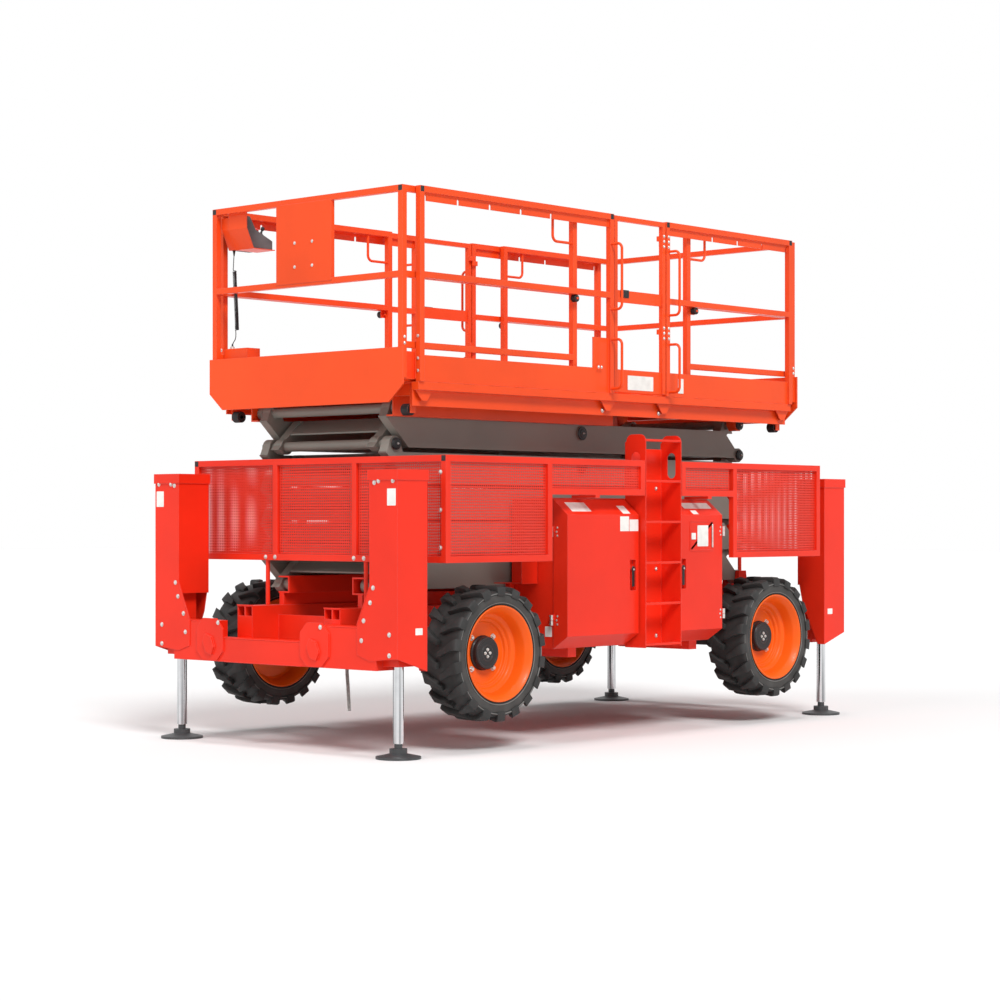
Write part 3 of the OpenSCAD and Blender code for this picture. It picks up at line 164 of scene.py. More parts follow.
def grained(tree, shader, height, strength, distance):
    """Fine relief on a finish."""
    bump = tree.nodes.new("ShaderNodeBump")
    bump.inputs["Strength"].default_value = strength
    bump.inputs["Distance"].default_value = distance
    tree.links.new(height, bump.inputs["Height"])
    tree.links.new(bump.outputs["Normal"], shader.inputs["Normal"])
    return bump


def rubber(name, colour, grain):
    """Black rubber: dull, with a fine moulded grain and a little grey bloom."""
    material, tree, shader, place = bare_finish(name)
    bloom = mottle(tree, place, 7, 6)
    tone = blend(tree, bloom, 0.35, colour, 0.8, [1.9 * c + 0.008 for c in colour])
    tree.links.new(tone, shader.inputs["Base Color"])
    grained(tree, shader, mottle(tree, place, grain, 3), 0.25, 0.001)
    shader.inputs["Roughness"].default_value = 0.62
    shader.inputs["Specular IOR Level"].default_value = 0.35
    return material


lead_rubber = rubber("lead_rubber", (0.012, 0.012, 0.013), 700)
lead.data.materials.append(lead_rubber)

# Floor and light: a plain pale floor and an even white surround. A soft high key, a weaker fill and
# a weak lamp overhead light the end and the left side of the machine.
surround = 0.36
bpy.ops.mesh.primitive_plane_add(size=160)
floor = bpy.context.object
floor.name = "studio_floor"
floor_paint = bpy.data.materials.new("studio_floor")
floor_paint.use_nodes = True
floor_shader = floor_paint.node_tree.nodes["Principled BSDF"]
floor_shader.inputs["Base Color"].default_value = (0.77, 0.77, 0.77, 1)
floor_shader.inputs["Roughness"].default_value = 0.9
floor_shader.inputs["Specular IOR Level"].default_value = 0.1
floor.data.materials.append(floor_paint)
world = bpy.data.worlds.new("studio")
bpy.context.scene.world = world
world.use_nodes = True


def worked_out(tree, operation, *terms):
    """A sum on values: each term is a number, or what another node gives."""
    maths = tree.nodes.new("ShaderNodeMath")
    maths.operation = operation
    for i, term in enumerate(terms):
        if isinstance(term, (int, float)):
            maths.inputs[i].default_value = term
        else:
            tree.links.new(term, maths.inputs[i])
    return maths.outputs["Value"]


studio = world.node_tree
sky = studio.nodes["Background"]
sky.inputs["Color"].default_value = (1, 1, 1, 1)
rays = studio.nodes.new("ShaderNodeLightPath").outputs
mirrored = worked_out(studio, "ADD", rays["Is Glossy Ray"], rays["Is Transmission Ray"])
straight = worked_out(studio, "ADD", rays["Is Camera Ray"], mirrored)
straight.node.use_clamp = True
seen = worked_out(studio, "MULTIPLY_ADD", straight, 1 - surround, surround)
studio.links.new(seen, sky.inputs["Strength"])
bpy.ops.object.light_add(type="SUN", rotation=(math.radians(46), 0, math.radians(152)))
key = bpy.context.object
key.data.energy = 2.5
key.data.angle = math.radians(20)
bpy.ops.object.light_add(type="SUN", rotation=(math.radians(58), 0, math.radians(75)))
fill = bpy.context.object
fill.data.energy = 0.85
fill.data.angle = math.radians(40)
bpy.ops.object.light_add(type="SUN", rotation=(0, 0, 0))
overhead = bpy.context.object
overhead.data.energy = 1.0
overhead.data.angle = math.radians(14)

# Chassis, cross beams and jack columns: welded box sections and folded sheet, sprayed with one coat
# of red enamel. The enamel is a little uneven, and its folded edges carry a paler painted highlight.


def dulled(tree, shader, source, low, high):
    """Roughness that goes from one value to another with what drives it."""
    dull = tree.nodes.new("ShaderNodeMapRange")
    dull.inputs["To Min"].default_value = low
    dull.inputs["To Max"].default_value = high
    tree.links.new(source, dull.inputs["Value"])
    tree.links.new(dull.outputs["Result"], shader.inputs["Roughness"])


def enamel(name, colour, gloss=0.34):
    """Sprayed enamel on steel: slight clouds, fine orange peel, a paler painted highlight on rounded edges.
    """
    material, tree, shader, place = bare_finish(name)
    cloud = mottle(tree, place, 1.6, 4)
    tone = blend(tree, cloud, 0.3, [0.9 * c for c in colour], 0.7, [min(1, 1.06 * c) for c in colour])
    edge = tree.nodes.new("ShaderNodeBevel")
    edge.samples = 4
    edge.inputs["Radius"].default_value = 0.004
    facing = tree.nodes.new("ShaderNodeNewGeometry")
    bend = tree.nodes.new("ShaderNodeVectorMath")
    bend.operation = "DOT_PRODUCT"
    tree.links.new(edge.outputs["Normal"], bend.inputs[0])
    tree.links.new(facing.outputs["Normal"], bend.inputs[1])
    # Painted highlight: where the bevelled normal bends away from the true one, the edge gets a paler paint
    # colour.
    edge_highlight = blend(tree, bend.outputs["Value"], 0.80, (0.45, 0.45, 0.45), 0.985, (0, 0, 0))
    mix = tree.nodes.new("ShaderNodeMix")
    mix.data_type = "RGBA"
    mix.inputs["B"].default_value = (*[0.72 * c + 0.16 for c in colour], 1)
    tree.links.new(edge_highlight, mix.inputs["Factor"])
    tree.links.new(tone, mix.inputs["A"])
    tree.links.new(mix.outputs["Result"], shader.inputs["Base Color"])
    bump = grained(tree, shader, mottle(tree, place, 420, 2), 0.05, 0.001)
    tree.links.new(edge.outputs["Normal"], bump.inputs["Normal"])
    dulled(tree, shader, cloud, gloss - 0.06, gloss + 0.1)
    shader.inputs["Specular IOR Level"].default_value = 0.22
    shader.inputs["Coat Weight"].default_value = 0.06
    shader.inputs["Coat Roughness"].default_value = 0.12
    return material


def finish_node(name, material):
    """Gives a CAD node its finish."""
    nodes[name].data.materials.clear()
    nodes[name].data.materials.append(material)


chassis_red = enamel("chassis_red", (0.80, 0.026, 0.008))
for name in ("chassis_frame", "outrigger_beams", "jack_columns"):
    finish_node(name, chassis_red)

# Bolts of the chassis: zinc-plated dome heads on washers. They hold the covers of the jack columns
# and the flanges of the cross beams.


def zinc(name, colour):
    """Zinc-plated steel: pale metal, slightly uneven, with fine scuffs."""
    material, tree, shader, place = bare_finish(name)
    cast = mottle(tree, place, 60, 5)
    tone = blend(tree, cast, 0.3, [0.72 * c for c in colour], 0.7, colour)
    tree.links.new(tone, shader.inputs["Base Color"])
    dulled(tree, shader, cast, 0.22, 0.46)
    grained(tree, shader, cast, 0.06, 0.0005)
    shader.inputs["Metallic"].default_value = 0.85
    return material


zinc_plate = zinc("zinc_plate", (0.74, 0.73, 0.70))


def deselect():
    """Leaves edit mode and selects nothing."""
    if bpy.context.object and bpy.context.object.mode != "OBJECT":
        bpy.ops.object.mode_set(mode="OBJECT")
    bpy.ops.object.select_all(action="DESELECT")


def turned(name, section, place, along, steps=64):
    """A turned piece: one point is extruded along a half section, then spun round the axis.
    Each point of the section is (distance along the axis, radius)."""
    axis = Vector(along).normalized()
    out = axis.orthogonal().normalized()
    points = [Vector(place) + axis * a + out * r for a, r in section]
    deselect()
    bpy.ops.mesh.primitive_plane_add(size=0.01)
    piece = bpy.context.object
    piece.name = name
    bpy.ops.object.mode_set(mode="EDIT")
    bpy.ops.mesh.select_mode(type="VERT")
    bpy.ops.mesh.select_all(action="SELECT")
    bpy.ops.mesh.merge(type="CENTER")
    bpy.ops.transform.translate(value=points[0])
    for a, b in zip(points, points[1:]):
        bpy.ops.mesh.extrude_region_move(TRANSFORM_OT_translate={"value": b - a})
    bpy.ops.mesh.select_all(action="SELECT")
    bpy.ops.mesh.spin(steps=steps, angle=math.tau, center=Vector(place), axis=axis)
    bpy.ops.mesh.select_all(action="SELECT")
    bpy.ops.mesh.remove_doubles(threshold=1e-5)
    bpy.ops.mesh.normals_make_consistent(inside=False)
    bpy.ops.object.mode_set(mode="OBJECT")
    bpy.ops.object.shade_smooth_by_angle(angle=math.radians(32))
    return piece


def joined(name, pieces):
    """Several pieces made into one."""
    deselect()
    for piece in pieces:
        piece.select_set(True)
    bpy.context.view_layer.objects.active = pieces[0]
    if len(pieces) > 1:
        bpy.ops.object.join()
    whole = bpy.context.view_layer.objects.active
    whole.name = name
    return whole


def copied(piece, matrix):
    """A copy of a piece with its own mesh, moved by a matrix."""
    twin = piece.copy()
    twin.data = piece.data.copy()
    twin.data.transform(matrix)
    if matrix.determinant() < 0:
        twin.data.flip_normals()
    bpy.context.scene.collection.objects.link(twin)
    return twin


def across(direction):
    """The turn that takes +Z to a direction."""
    return Vector((0, 0, 1)).rotation_difference(Vector(direction)).to_matrix().to_4x4()


def fixed(name, master, places, body, material):
    """Copies of one fastener, each at (point, direction), joined into one piece on a body."""
    copies = [copied(master, Matrix.Translation(point) @ across(out)) for point, out in places]
    piece = joined(name, copies)
    piece.data.materials.clear()
    piece.data.materials.append(material)
    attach(piece, body)
    return piece


dome_section = [(0, 0), (0, 0.0150), (0.0020, 0.0150), (0.0028, 0.0112), (0.0060, 0.0108), (0.0090, 0.0075),
                (0.0102, 0)]
dome_bolt = turned("dome_bolt", dome_section, (0, 0, 0), (0, 0, 1), 10)
column_face = 2.295
column_bolts = [(0.915, 1.631), (0.950, 1.641), (1.070, 1.641), (0.905, 1.010), (0.880, 0.922),
                (0.825, 0.814), (1.040, 0.737), (0.806, 0.696), (1.040, 0.615)]
flange_face = 2.301
flange_bolts = [(0.457, 0.765), (-0.482, 0.765)]
chassis_bolts = []
for end in (1, -1):
    for y, z in column_bolts:
        for side in (1, -1):
            chassis_bolts.append(((end * column_face, side * y, z), (end, 0, 0)))
    for y, z in flange_bolts:
        chassis_bolts.append(((end * flange_face, end * y, z), (end, 0, 0)))
fixed("chassis_bolts", dome_bolt, chassis_bolts, "chassis", zinc_plate)

# Blank label plates of the columns: thin white enamelled sheet with rounded corners, stuck on the
# outer front edge of each column and low on its outer side.


def label_white(name, colour):
    """White sheet of the blank plates: a little yellowed and rubbed."""
    material, tree, shader, place = bare_finish(name)
    rub = mottle(tree, place, 18, 6)
    tone = blend(tree, rub, 0.3, [0.86 * c for c in colour], 0.6, colour)
    tree.links.new(tone, shader.inputs["Base Color"])
    dulled(tree, shader, rub, 0.32, 0.55)
    grained(tree, shader, rub, 0.08, 0.001)
    return material


def upright(place, out):
    """Stands a flat piece, drawn on XY, at a place: its face looks out and its Y runs up."""
    out = Vector(out).normalized()
    up = Vector((0, 0, 1)) - out * out.z
    up = up.normalized() if up.length > 1e-4 else Vector((1, 0, 0))
    right = up.cross(out)
    turn = Matrix((right, up, out)).transposed().to_4x4()
    return Matrix.Translation(place) @ turn


def pick(piece, kind, wanted):
    """Enters edit mode on a piece with only the wanted edges or faces selected."""
    deselect()
    piece.select_set(True)
    bpy.context.view_layer.objects.active = piece
    bpy.ops.object.mode_set(mode="EDIT")
    bpy.ops.mesh.select_mode(type=kind)
    bpy.ops.mesh.select_all(action="DESELECT")
    bpy.ops.object.mode_set(mode="OBJECT")
    for item in piece.data.edges if kind == "EDGE" else piece.data.polygons:
        item.select = wanted(item)
    bpy.ops.object.mode_set(mode="EDIT")


def flat_plate(place, out, w, h, t, corner):
    """A sheet piece with rounded corners and eased edges, standing on a face."""
    deselect()
    bpy.ops.mesh.primitive_cube_add(size=1, location=(0, 0, t / 2))
    plate = bpy.context.object
    plate.scale = (w, h, t)
    bpy.ops.object.transform_apply(location=True, rotation=True, scale=True)
    points = plate.data.vertices
    pick(plate, "EDGE", lambda e: abs(points[e.vertices[0]].co.z - points[e.vertices[1]].co.z) > t / 2)
    bpy.ops.mesh.bevel(offset=corner, segments=3)
    bpy.ops.object.mode_set(mode="OBJECT")
    ease = plate.modifiers.new("eased", "BEVEL")
    ease.width = t / 4
    ease.segments = 1
    ease.limit_method = "ANGLE"
    ease.angle_limit = math.radians(60)
    bpy.ops.object.modifier_apply(modifier="eased")
    bpy.ops.object.shade_smooth_by_angle(angle=math.radians(35))
    plate.data.transform(upright(place, out))
    return plate


def carried(piece, name, body, material):
    """Names a piece, gives it its finish and puts it on a body."""
    piece.name = name
    piece.data.materials.clear()
    piece.data.materials.append(material)
    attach(piece, body)
    return piece


blank_white = label_white("blank_white", (0.84, 0.83, 0.79))
label_t = 0.0008
column_labels = []
for end in (1, -1):
    for side in (1, -1):
        column_labels.append(flat_plate((end * column_face, side * 1.058, 1.545), (end, 0, 0), 0.072, 0.100,
                                        label_t, 0.004))
        column_labels.append(flat_plate((end * 2.115, side * 1.107, 0.752), (0, side, 0), 0.060, 0.040,
                                        label_t, 0.003))
carried(joined("column_labels", column_labels), "column_labels", "chassis", blank_white)

# Welds of the cross beams: beads of filler along the seams of the flange plates and the arms.
# A bead is a row of overlapping drops, laid along the seam and painted over.
drop_step = 0.011
drop_r = 0.0046
beam_front = 2.289


def bead(a, b):
    """A weld bead from one point to another: a row of short rounded drops."""
    a = Vector(a)
    b = Vector(b)
    count = max(2, round((b - a).length / drop_step))
    deselect()
    bpy.ops.mesh.primitive_ico_sphere_add(subdivisions=1, radius=drop_r)
    drop = bpy.context.object
    drop.scale = (1, 1, 1.7)
    bpy.ops.object.transform_apply(location=True, rotation=True, scale=True)
    drop.data.transform(Matrix.Translation(a) @ across(b - a))
    row = drop.modifiers.new("row", "ARRAY")
    row.use_relative_offset = False
    row.use_constant_offset = True
    row.constant_offset_displace = (b - a) / count
    row.count = count + 1
    bpy.ops.object.modifier_apply(modifier="row")
    bpy.ops.object.shade_smooth()
    return drop


beads = []
for end in (1, -1):
    beads.append(bead((end * beam_front, end * 0.27, 0.669), (end * beam_front, end * -0.43, 0.669)))
    beads.append(bead((end * beam_front, end * 0.27, 0.522), (end * beam_front, end * -0.43, 0.522)))
    for y0, y1 in ((0.535, 0.79), (-0.70, -0.80)):
        beads.append(bead((end * beam_front, end * y0, 0.772), (end * beam_front, end * y1, 0.772)))
    for side in (1, -1):
        beads.append(bead((end * column_face, side * 0.873, 1.011), (end * column_face, side * 0.770, 0.792)))
        beads.append(bead((end * 2.149, side * 0.330, 0.872), (end * 2.149, side * 0.470, 0.872)))
carried(joined("beam_welds", beads), "beam_welds", "chassis", chassis_red)

# Earthing strip: a narrow strip of plated metal that hangs under the front cross beam in a slight
# curve, short of the ground.
strip_line = [(0.0, 0.520), (0.003, 0.47), (0.010, 0.40), (0.016, 0.32), (0.021, 0.252)]
deselect()
bpy.ops.mesh.primitive_plane_add(size=0.028)
strip = bpy.context.object
bpy.ops.object.mode_set(mode="EDIT")
bpy.ops.mesh.select_all(action="SELECT")
bpy.ops.transform.resize(value=(1, 0.10, 1))
bpy.ops.transform.translate(value=(2.100, 0.477, strip_line[0][1]))
for (y0, z0), (y1, z1) in zip(strip_line, strip_line[1:]):
    bpy.ops.mesh.extrude_region_move(TRANSFORM_OT_translate={"value": (0, y1 - y0, z1 - z0)})
bpy.ops.mesh.select_all(action="SELECT")
bpy.ops.mesh.normals_make_consistent(inside=False)
bpy.ops.object.mode_set(mode="OBJECT")
bpy.ops.object.transform_apply(location=True, rotation=True, scale=True)
carried(strip, "earthing_strip", "chassis", zinc_plate)

# Jacks: hard-chromed rods with forged swivel feet, the feet left in dark oiled steel.
# The rod and its foot are one node, so the finish changes at the neck, by height.
chrome_from = 0.088


def upward(tree, vector):
    """How far up a vector reaches."""
    split = tree.nodes.new("ShaderNodeSeparateXYZ")
    tree.links.new(vector, split.inputs["Vector"])
    return split.outputs["Z"]


def chrome_and_foot(name):
    """Hard chrome with dark painted reflections streaked down the rod, and dark oiled steel below the neck.
    """
    material, tree, shader, place = bare_finish(name)
    above = worked_out(tree, "GREATER_THAN", upward(tree, place), chrome_from)
    scuff = mottle(tree, place, 26, 8)
    dark = blend(tree, scuff, 0, (0.020, 0.021, 0.023), 1, (0.075, 0.075, 0.078))
    bright = blend(tree, scuff, 0, (0.60, 0.61, 0.63), 1, (0.78, 0.79, 0.80))
    # Painted reflection: dark streaks down the chrome stand in for the dark surroundings that the rod
    # mirrors.
    down = tree.nodes.new("ShaderNodeMapping")
    down.inputs["Scale"].default_value = (34, 34, 0.4)
    tree.links.new(place, down.inputs["Vector"])
    reflection_band = tree.nodes.new("ShaderNodeMapRange")
    reflection_band.inputs["From Min"].default_value = 0.44
    reflection_band.inputs["From Max"].default_value = 0.66
    tree.links.new(mottle(tree, down.outputs["Vector"], 1, 2), reflection_band.inputs["Value"])
    shade = tree.nodes.new("ShaderNodeMix")
    shade.data_type = "RGBA"
    shade.inputs["B"].default_value = (0.10, 0.105, 0.11, 1)
    tree.links.new(reflection_band.outputs["Result"], shade.inputs["Factor"])
    tree.links.new(bright, shade.inputs["A"])
    colour = tree.nodes.new("ShaderNodeMix")
    colour.data_type = "RGBA"
    tree.links.new(above, colour.inputs["Factor"])
    tree.links.new(dark, colour.inputs["A"])
    tree.links.new(shade.outputs["Result"], colour.inputs["B"])
    tree.links.new(colour.outputs["Result"], shader.inputs["Base Color"])
    tree.links.new(above, shader.inputs["Metallic"])
    dulled(tree, shader, above, 0.5, 0.16)
    return material


jack_chrome = chrome_and_foot("jack_chrome")
corners = [(end, side) for end in ("front", "rear") for side in ("left", "right")]
for end, side in corners:
    finish_node(f"jack_{end}_{side}", jack_chrome)

# Collars of the jacks: a black rubber wiper ring round each rod, set inside the foot of its housing.
# It stays with the chassis when the rod runs out.
jack_x = 2.170
jack_y = 0.990
collar_low = 0.5745
collar = turned("collar", [(0, 0.0335), (0, 0.050), (0.004, 0.053), (0.018, 0.053), (0.0215, 0.050),
                           (0.0215, 0.0335), (0, 0.0335)], (0, 0, collar_low), (0, 0, 1), 40)
collars = []
for ex in (1, -1):
    for sy in (1, -1):
        collars.append(copied(collar, Matrix.Translation((ex * jack_x, sy * jack_y, 0))))
bpy.data.objects.remove(collar)
wiper_black = rubber("wiper_black", (0.014, 0.014, 0.015), 400)
carried(joined("jack_wipers", collars), "jack_wipers", "chassis", wiper_black)

# Axles, knuckles and track rod: welded and cast steel in black chassis paint. The knuckles turn on
# the ends of the front axle.
axle_black = enamel("axle_black", (0.020, 0.020, 0.021), 0.45)
for name in ("front_axle", "rear_axle", "knuckle_left", "knuckle_right", "tie_rod"):
    finish_node(name, axle_black)

# Tyres: foam-filled lug tyres. The carcass is turned from its section, with two raised rings on
# each wall, and two rows of slanted lugs are set round it, one row half a pitch behind the other.
# The raised rings get a pale grey rubber as a painted highlight.
axle_x = 1.425
axle_z = 0.594
wheel_y = 0.985
tyre_r = 0.419
lug_count = 18
lug_h = 0.032
carcass_r = tyre_r - lug_h
wall = [(0.1000, 0.2620), (0.1325, 0.2975), (0.1360, 0.2990), (0.1365, 0.3060), (0.1420, 0.3075),
        (0.1440, 0.3100), (0.1440, 0.3140), (0.1415, 0.3165), (0.1425, 0.3400), (0.1420, 0.3590),
        (0.1400, 0.3600), (0.1400, 0.3620), (0.1460, 0.3640), (0.1480, 0.3670), (0.1480, 0.3715),
        (0.1440, 0.3760), (0.1330, carcass_r - 0.004), (0.1100, carcass_r), (0.0, carcass_r + 0.001)]
carcass_section = [(-a, r) for a, r in wall] + [(a, r) for a, r in reversed(wall[:-1])]
carcass_section.append(carcass_section[0])
tyre = turned("tyre_master", carcass_section, (0, 0, 0), (0, 1, 0), 108)

# One lug: a moulded bar that runs from the middle of the tread to the shoulder, leaning round the
# tyre on its way, with a stepped foot down the wall. It is drawn flat and then wrapped on.
lug_stations = [(0.004, 0.066, 0.017, 0.4190, 0.380), (0.055, 0.042, 0.020, 0.4190, 0.380),
                (0.100, 0.016, 0.028, 0.4185, 0.380), (0.132, 0.003, 0.034, 0.4170, 0.370),
                (0.1475, 0.0, 0.036, 0.4080, 0.356), (0.1520, 0.0, 0.036, 0.3790, 0.356)]
deselect()
bpy.ops.mesh.primitive_plane_add(size=1)
lug = bpy.context.object
lug.name = "lug_master"
bpy.ops.object.mode_set(mode="EDIT")
bpy.ops.mesh.select_all(action="SELECT")
for _ in lug_stations[1:]:
    bpy.ops.mesh.extrude_region_move(TRANSFORM_OT_translate={"value": (0, 0, 1)})
bpy.ops.mesh.select_all(action="SELECT")
bpy.ops.mesh.normals_make_consistent(inside=False)
bpy.ops.object.mode_set(mode="OBJECT")
for vertex in lug.data.vertices:
    y, lean, half, top, foot = lug_stations[round(vertex.co.z)]
    taper = 1 if vertex.co.y > 0 else 1.10
    flare = (lean + (1 if vertex.co.x > 0 else -1) * half * taper) / tyre_r
    r = top if vertex.co.y > 0 else foot
    vertex.co = (r * math.sin(flare), y, r * math.cos(flare))
deselect()
lug.select_set(True)
bpy.context.view_layer.objects.active = lug
bpy.ops.object.mode_set(mode="EDIT")
bpy.ops.mesh.select_all(action="SELECT")
bpy.ops.mesh.normals_make_consistent(inside=False)
bpy.ops.object.mode_set(mode="OBJECT")
lug_bevel = lug.modifiers.new("worn_edges", "BEVEL")
lug_bevel.width = 0.003
lug_bevel.segments = 2
lug_bevel.limit_method = "ANGLE"
lug_bevel.angle_limit = math.radians(40)
bpy.ops.object.modifier_apply(modifier="worn_edges")
bpy.ops.object.shade_smooth_by_angle(angle=math.radians(40))
tread = []
for i in range(lug_count):
    turn = math.tau * i / lug_count
    tread.append(copied(lug, Matrix.Rotation(turn, 4, "Y")))
    half_pitch = Matrix.Rotation(turn + math.pi / lug_count, 4, "Y")
    tread.append(copied(lug, half_pitch @ Matrix.Scale(-1, 4, (0, 1, 0))))
tyre_rubber = rubber("tyre_rubber", (0.019, 0.0185, 0.018), 260)
rubbed_rubber = rubber("rubbed_rubber", (0.036, 0.034, 0.032), 260)
# The pale ring rubber is a painted highlight on the raised rings of the walls.
ring_highlight_rubber = rubber("ring_highlight_rubber", (0.105, 0.102, 0.097), 260)
for part in [tyre] + tread:
    for skin in (tyre_rubber, rubbed_rubber, ring_highlight_rubber):
        part.data.materials.append(skin)
flat_of_wall = (0.3165, 0.3590)
bead_ring = (0.3080, 0.3145)
outer_ring = (0.3645, 0.3722)
# Painted highlight: faces within the two raised rings take the pale ring rubber.
for face in tyre.data.polygons:
    r = math.hypot(face.center.x, face.center.z)
    if flat_of_wall[0] < r < flat_of_wall[1]:
        face.material_index = 1
    elif bead_ring[0] < r < bead_ring[1] or outer_ring[0] < r < outer_ring[1]:
        face.material_index = 2
tyre = joined("tyre_master", [tyre] + tread)
wheel_places = {}
for end, side in corners:
    x = axle_x if end == "front" else -axle_x
    flip = Matrix.Identity(4) if side == "left" else Matrix.Scale(-1, 4, (0, 1, 0))
    y = wheel_y if side == "left" else -wheel_y
    wheel_places[f"{end}_{side}"] = Matrix.Translation((x, y, axle_z)) @ flip
for wheel, place in wheel_places.items():
    new_tyre = copied(tyre, place)
    new_tyre.name = f"lug_tyre_{wheel}"
    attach(new_tyre, f"wheel_{wheel}")
    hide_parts(f"tyre_{wheel}")
bpy.data.objects.remove(tyre)
bpy.data.objects.remove(lug)

# Rims and hubs: pressed steel rims in orange enamel, turned in one section with a rolled lip and
# two steps down to the disc. A black cast drive hub stands in the middle, with zinc-plated nuts.
rim_orange = enamel("rim_orange", (0.86, 0.118, 0.006), 0.38)
hub_black = enamel("hub_black", (0.022, 0.022, 0.023), 0.4)


def hex_nut(name, r, h):
    """A nut or bolt head on its washer, standing on Z = 0: a bevelled six-sided head."""
    deselect()
    bpy.ops.mesh.primitive_cylinder_add(vertices=6, radius=r, depth=h, location=(0, 0, h / 2 + 0.0025))
    nut = bpy.context.object
    bpy.ops.object.transform_apply(location=True, rotation=True, scale=True)
    bpy.ops.object.mode_set(mode="EDIT")
    bpy.ops.mesh.select_all(action="SELECT")
    bpy.ops.mesh.bevel(offset=0.14 * r, segments=1)
    bpy.ops.object.mode_set(mode="OBJECT")
    washer_section = [(0, 0), (0, 1.55 * r), (0.0028, 1.5 * r), (0.0028, 0)]
    washer = turned("washer", washer_section, (0, 0, 0), (0, 0, 1), 12)
    return joined(name, [nut, washer])


hub_r = 0.098
disc_y = 0.971 - wheel_y
hub_face = 1.017 - wheel_y
hub_section = [(disc_y, hub_r + 0.010), (disc_y + 0.010, hub_r + 0.010), (disc_y + 0.016, hub_r + 0.003),
               (hub_face - 0.004, hub_r + 0.003), (hub_face + 0.004, hub_r - 0.003),
               (hub_face + 0.004, hub_r - 0.012), (hub_face + 0.001, hub_r - 0.016),
               (hub_face + 0.001, 0.052), (hub_face + 0.003, 0.050), (hub_face + 0.003, 0.046),
               (hub_face + 0.001, 0.044), (hub_face + 0.001, 0)]
hub = turned("hub_cover", hub_section, (0, 0, 0), (0, 1, 0), 48)
hub.data.materials.append(hub_black)
dish = [(disc_y, 0.060), (disc_y, 0.186), (disc_y + 0.003, 0.190), (disc_y + 0.017, 0.195),
        (disc_y + 0.020, 0.199), (disc_y + 0.020, 0.209), (disc_y + 0.023, 0.213), (disc_y + 0.040, 0.219),
        (disc_y + 0.044, 0.224), (disc_y + 0.046, 0.235), (disc_y + 0.052, 0.243), (disc_y + 0.066, 0.2475)]
lip = [(0.1000, 0.2540), (0.1130, 0.2610), (0.1290, 0.2740), (0.1380, 0.2810), (0.1415, 0.2850),
       (0.1440, 0.2880), (0.1445, 0.2920), (0.1430, 0.2952), (0.1395, 0.2960), (0.1360, 0.2940)]
barrel = [(0.1000, 0.2598), (-0.1000, 0.2598), (-0.1360, 0.2940), (-0.1430, 0.2952), (-0.1440, 0.2880),
          (-0.1290, 0.2740), (-0.1000, 0.2530), (disc_y - 0.030, 0.2440), (disc_y - 0.016, 0.2300),
          (disc_y - 0.016, 0.060), (disc_y, 0.060)]
rim = turned("rim_master", dish + lip + barrel, (0, 0, 0), (0, 1, 0), 96)
rim.data.materials.append(rim_orange)
nut = hex_nut("wheel_nut", 0.0125, 0.014)
small_nut = hex_nut("hub_bolt", 0.0070, 0.006)
nut_circle = 0.136
nut_count = 4
nut_places = []
for i in range(nut_count):
    turn = math.tau * (i + 0.5) / nut_count
    nut_places.append(((nut_circle * math.cos(turn), disc_y, nut_circle * math.sin(turn)), (0, 1, 0)))
bolt_circle = 0.021
bolt_count = 4
bolt_seat = hub_face + 0.001
bolt_places = []
for i in range(bolt_count):
    turn = math.tau * i / bolt_count
    bolt_places.append(((bolt_circle * math.cos(turn), bolt_seat, bolt_circle * math.sin(turn)), (0, 1, 0)))
for wheel, place in wheel_places.items():
    for part, label, slot in ((hub, "drive_hub", "axle_black"), (rim, "dished_rim", "rim")):
        twin = copied(part, place)
        twin.name = f"{label}_{wheel}"
        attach(twin, f"wheel_{wheel}")
        if part is rim:
            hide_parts(f"rim_{wheel}")
    nuts = [copied(nut, Matrix.Translation(p) @ across(d)) for p, d in nut_places]
    nuts += [copied(small_nut, Matrix.Translation(p) @ across(d)) for p, d in bolt_places]
    nuts = joined(f"wheel_nuts_{wheel}", nuts)
    nuts.data.transform(place)
    if place.determinant() < 0:
        nuts.data.flip_normals()
    nuts.data.materials.append(zinc_plate)
    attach(nuts, f"wheel_{wheel}")
for part in (hub, rim):
    bpy.data.objects.remove(part)

# Guards: welded square tube frames round the scissor stack, in the same red, filled with punched
# sheet whose square holes are so close that only narrow bars are left.
guard_red = enamel("guard_red", (0.80, 0.030, 0.010))
finish_node("guard_frames", guard_red)
hole_pitch = 0.0175
bar_w = 0.0092
bar_t = 0.0016
guard_low = 1.154
guard_mid = 1.570
guard_high = 1.799
guard_x = 1.910
guard_y = 1.129
guard_end = 1.930
guard_side = 1.149
guard_post = 0.361
grid_edge = 0.022


def punched(name, u0, u1, z0, z1, along, plane):
    """A punched panel that stands on edge: bars up and bars across, each an arrayed strip."""
    strips = []
    for across_panel in (False, True):
        length = (u1 - u0) if across_panel else (z1 - z0)
        room = (z1 - z0) if across_panel else (u1 - u0)
        count = max(2, round(room / hole_pitch))
        step = room / count
        shift = 0.0004 if across_panel else -0.0004
        deselect()
        bpy.ops.mesh.primitive_cube_add(size=1)
        strip = bpy.context.object
        strip.scale = (length, bar_t, bar_w) if across_panel else (bar_w, bar_t, length)
        strip.location = (u0 + length / 2, shift, z0 + step / 2) if across_panel \
            else (u0 + step / 2, shift, z0 + length / 2)
        bpy.ops.object.transform_apply(location=True, rotation=True, scale=True)
        array = strip.modifiers.new("rows", "ARRAY")
        array.use_relative_offset = False
        array.use_constant_offset = True
        array.constant_offset_displace = (0, 0, step) if across_panel else (step, 0, 0)
        array.count = count
        bpy.ops.object.modifier_apply(modifier="rows")
        strips.append(strip)
    panel = joined(name, strips)
    if along == "X":
        panel.data.transform(Matrix.Translation((0, plane, 0)))
    else:
        panel.data.transform(Matrix.Translation((plane, 0, 0)) @ Matrix.Rotation(math.pi / 2, 4, "Z"))
    return panel


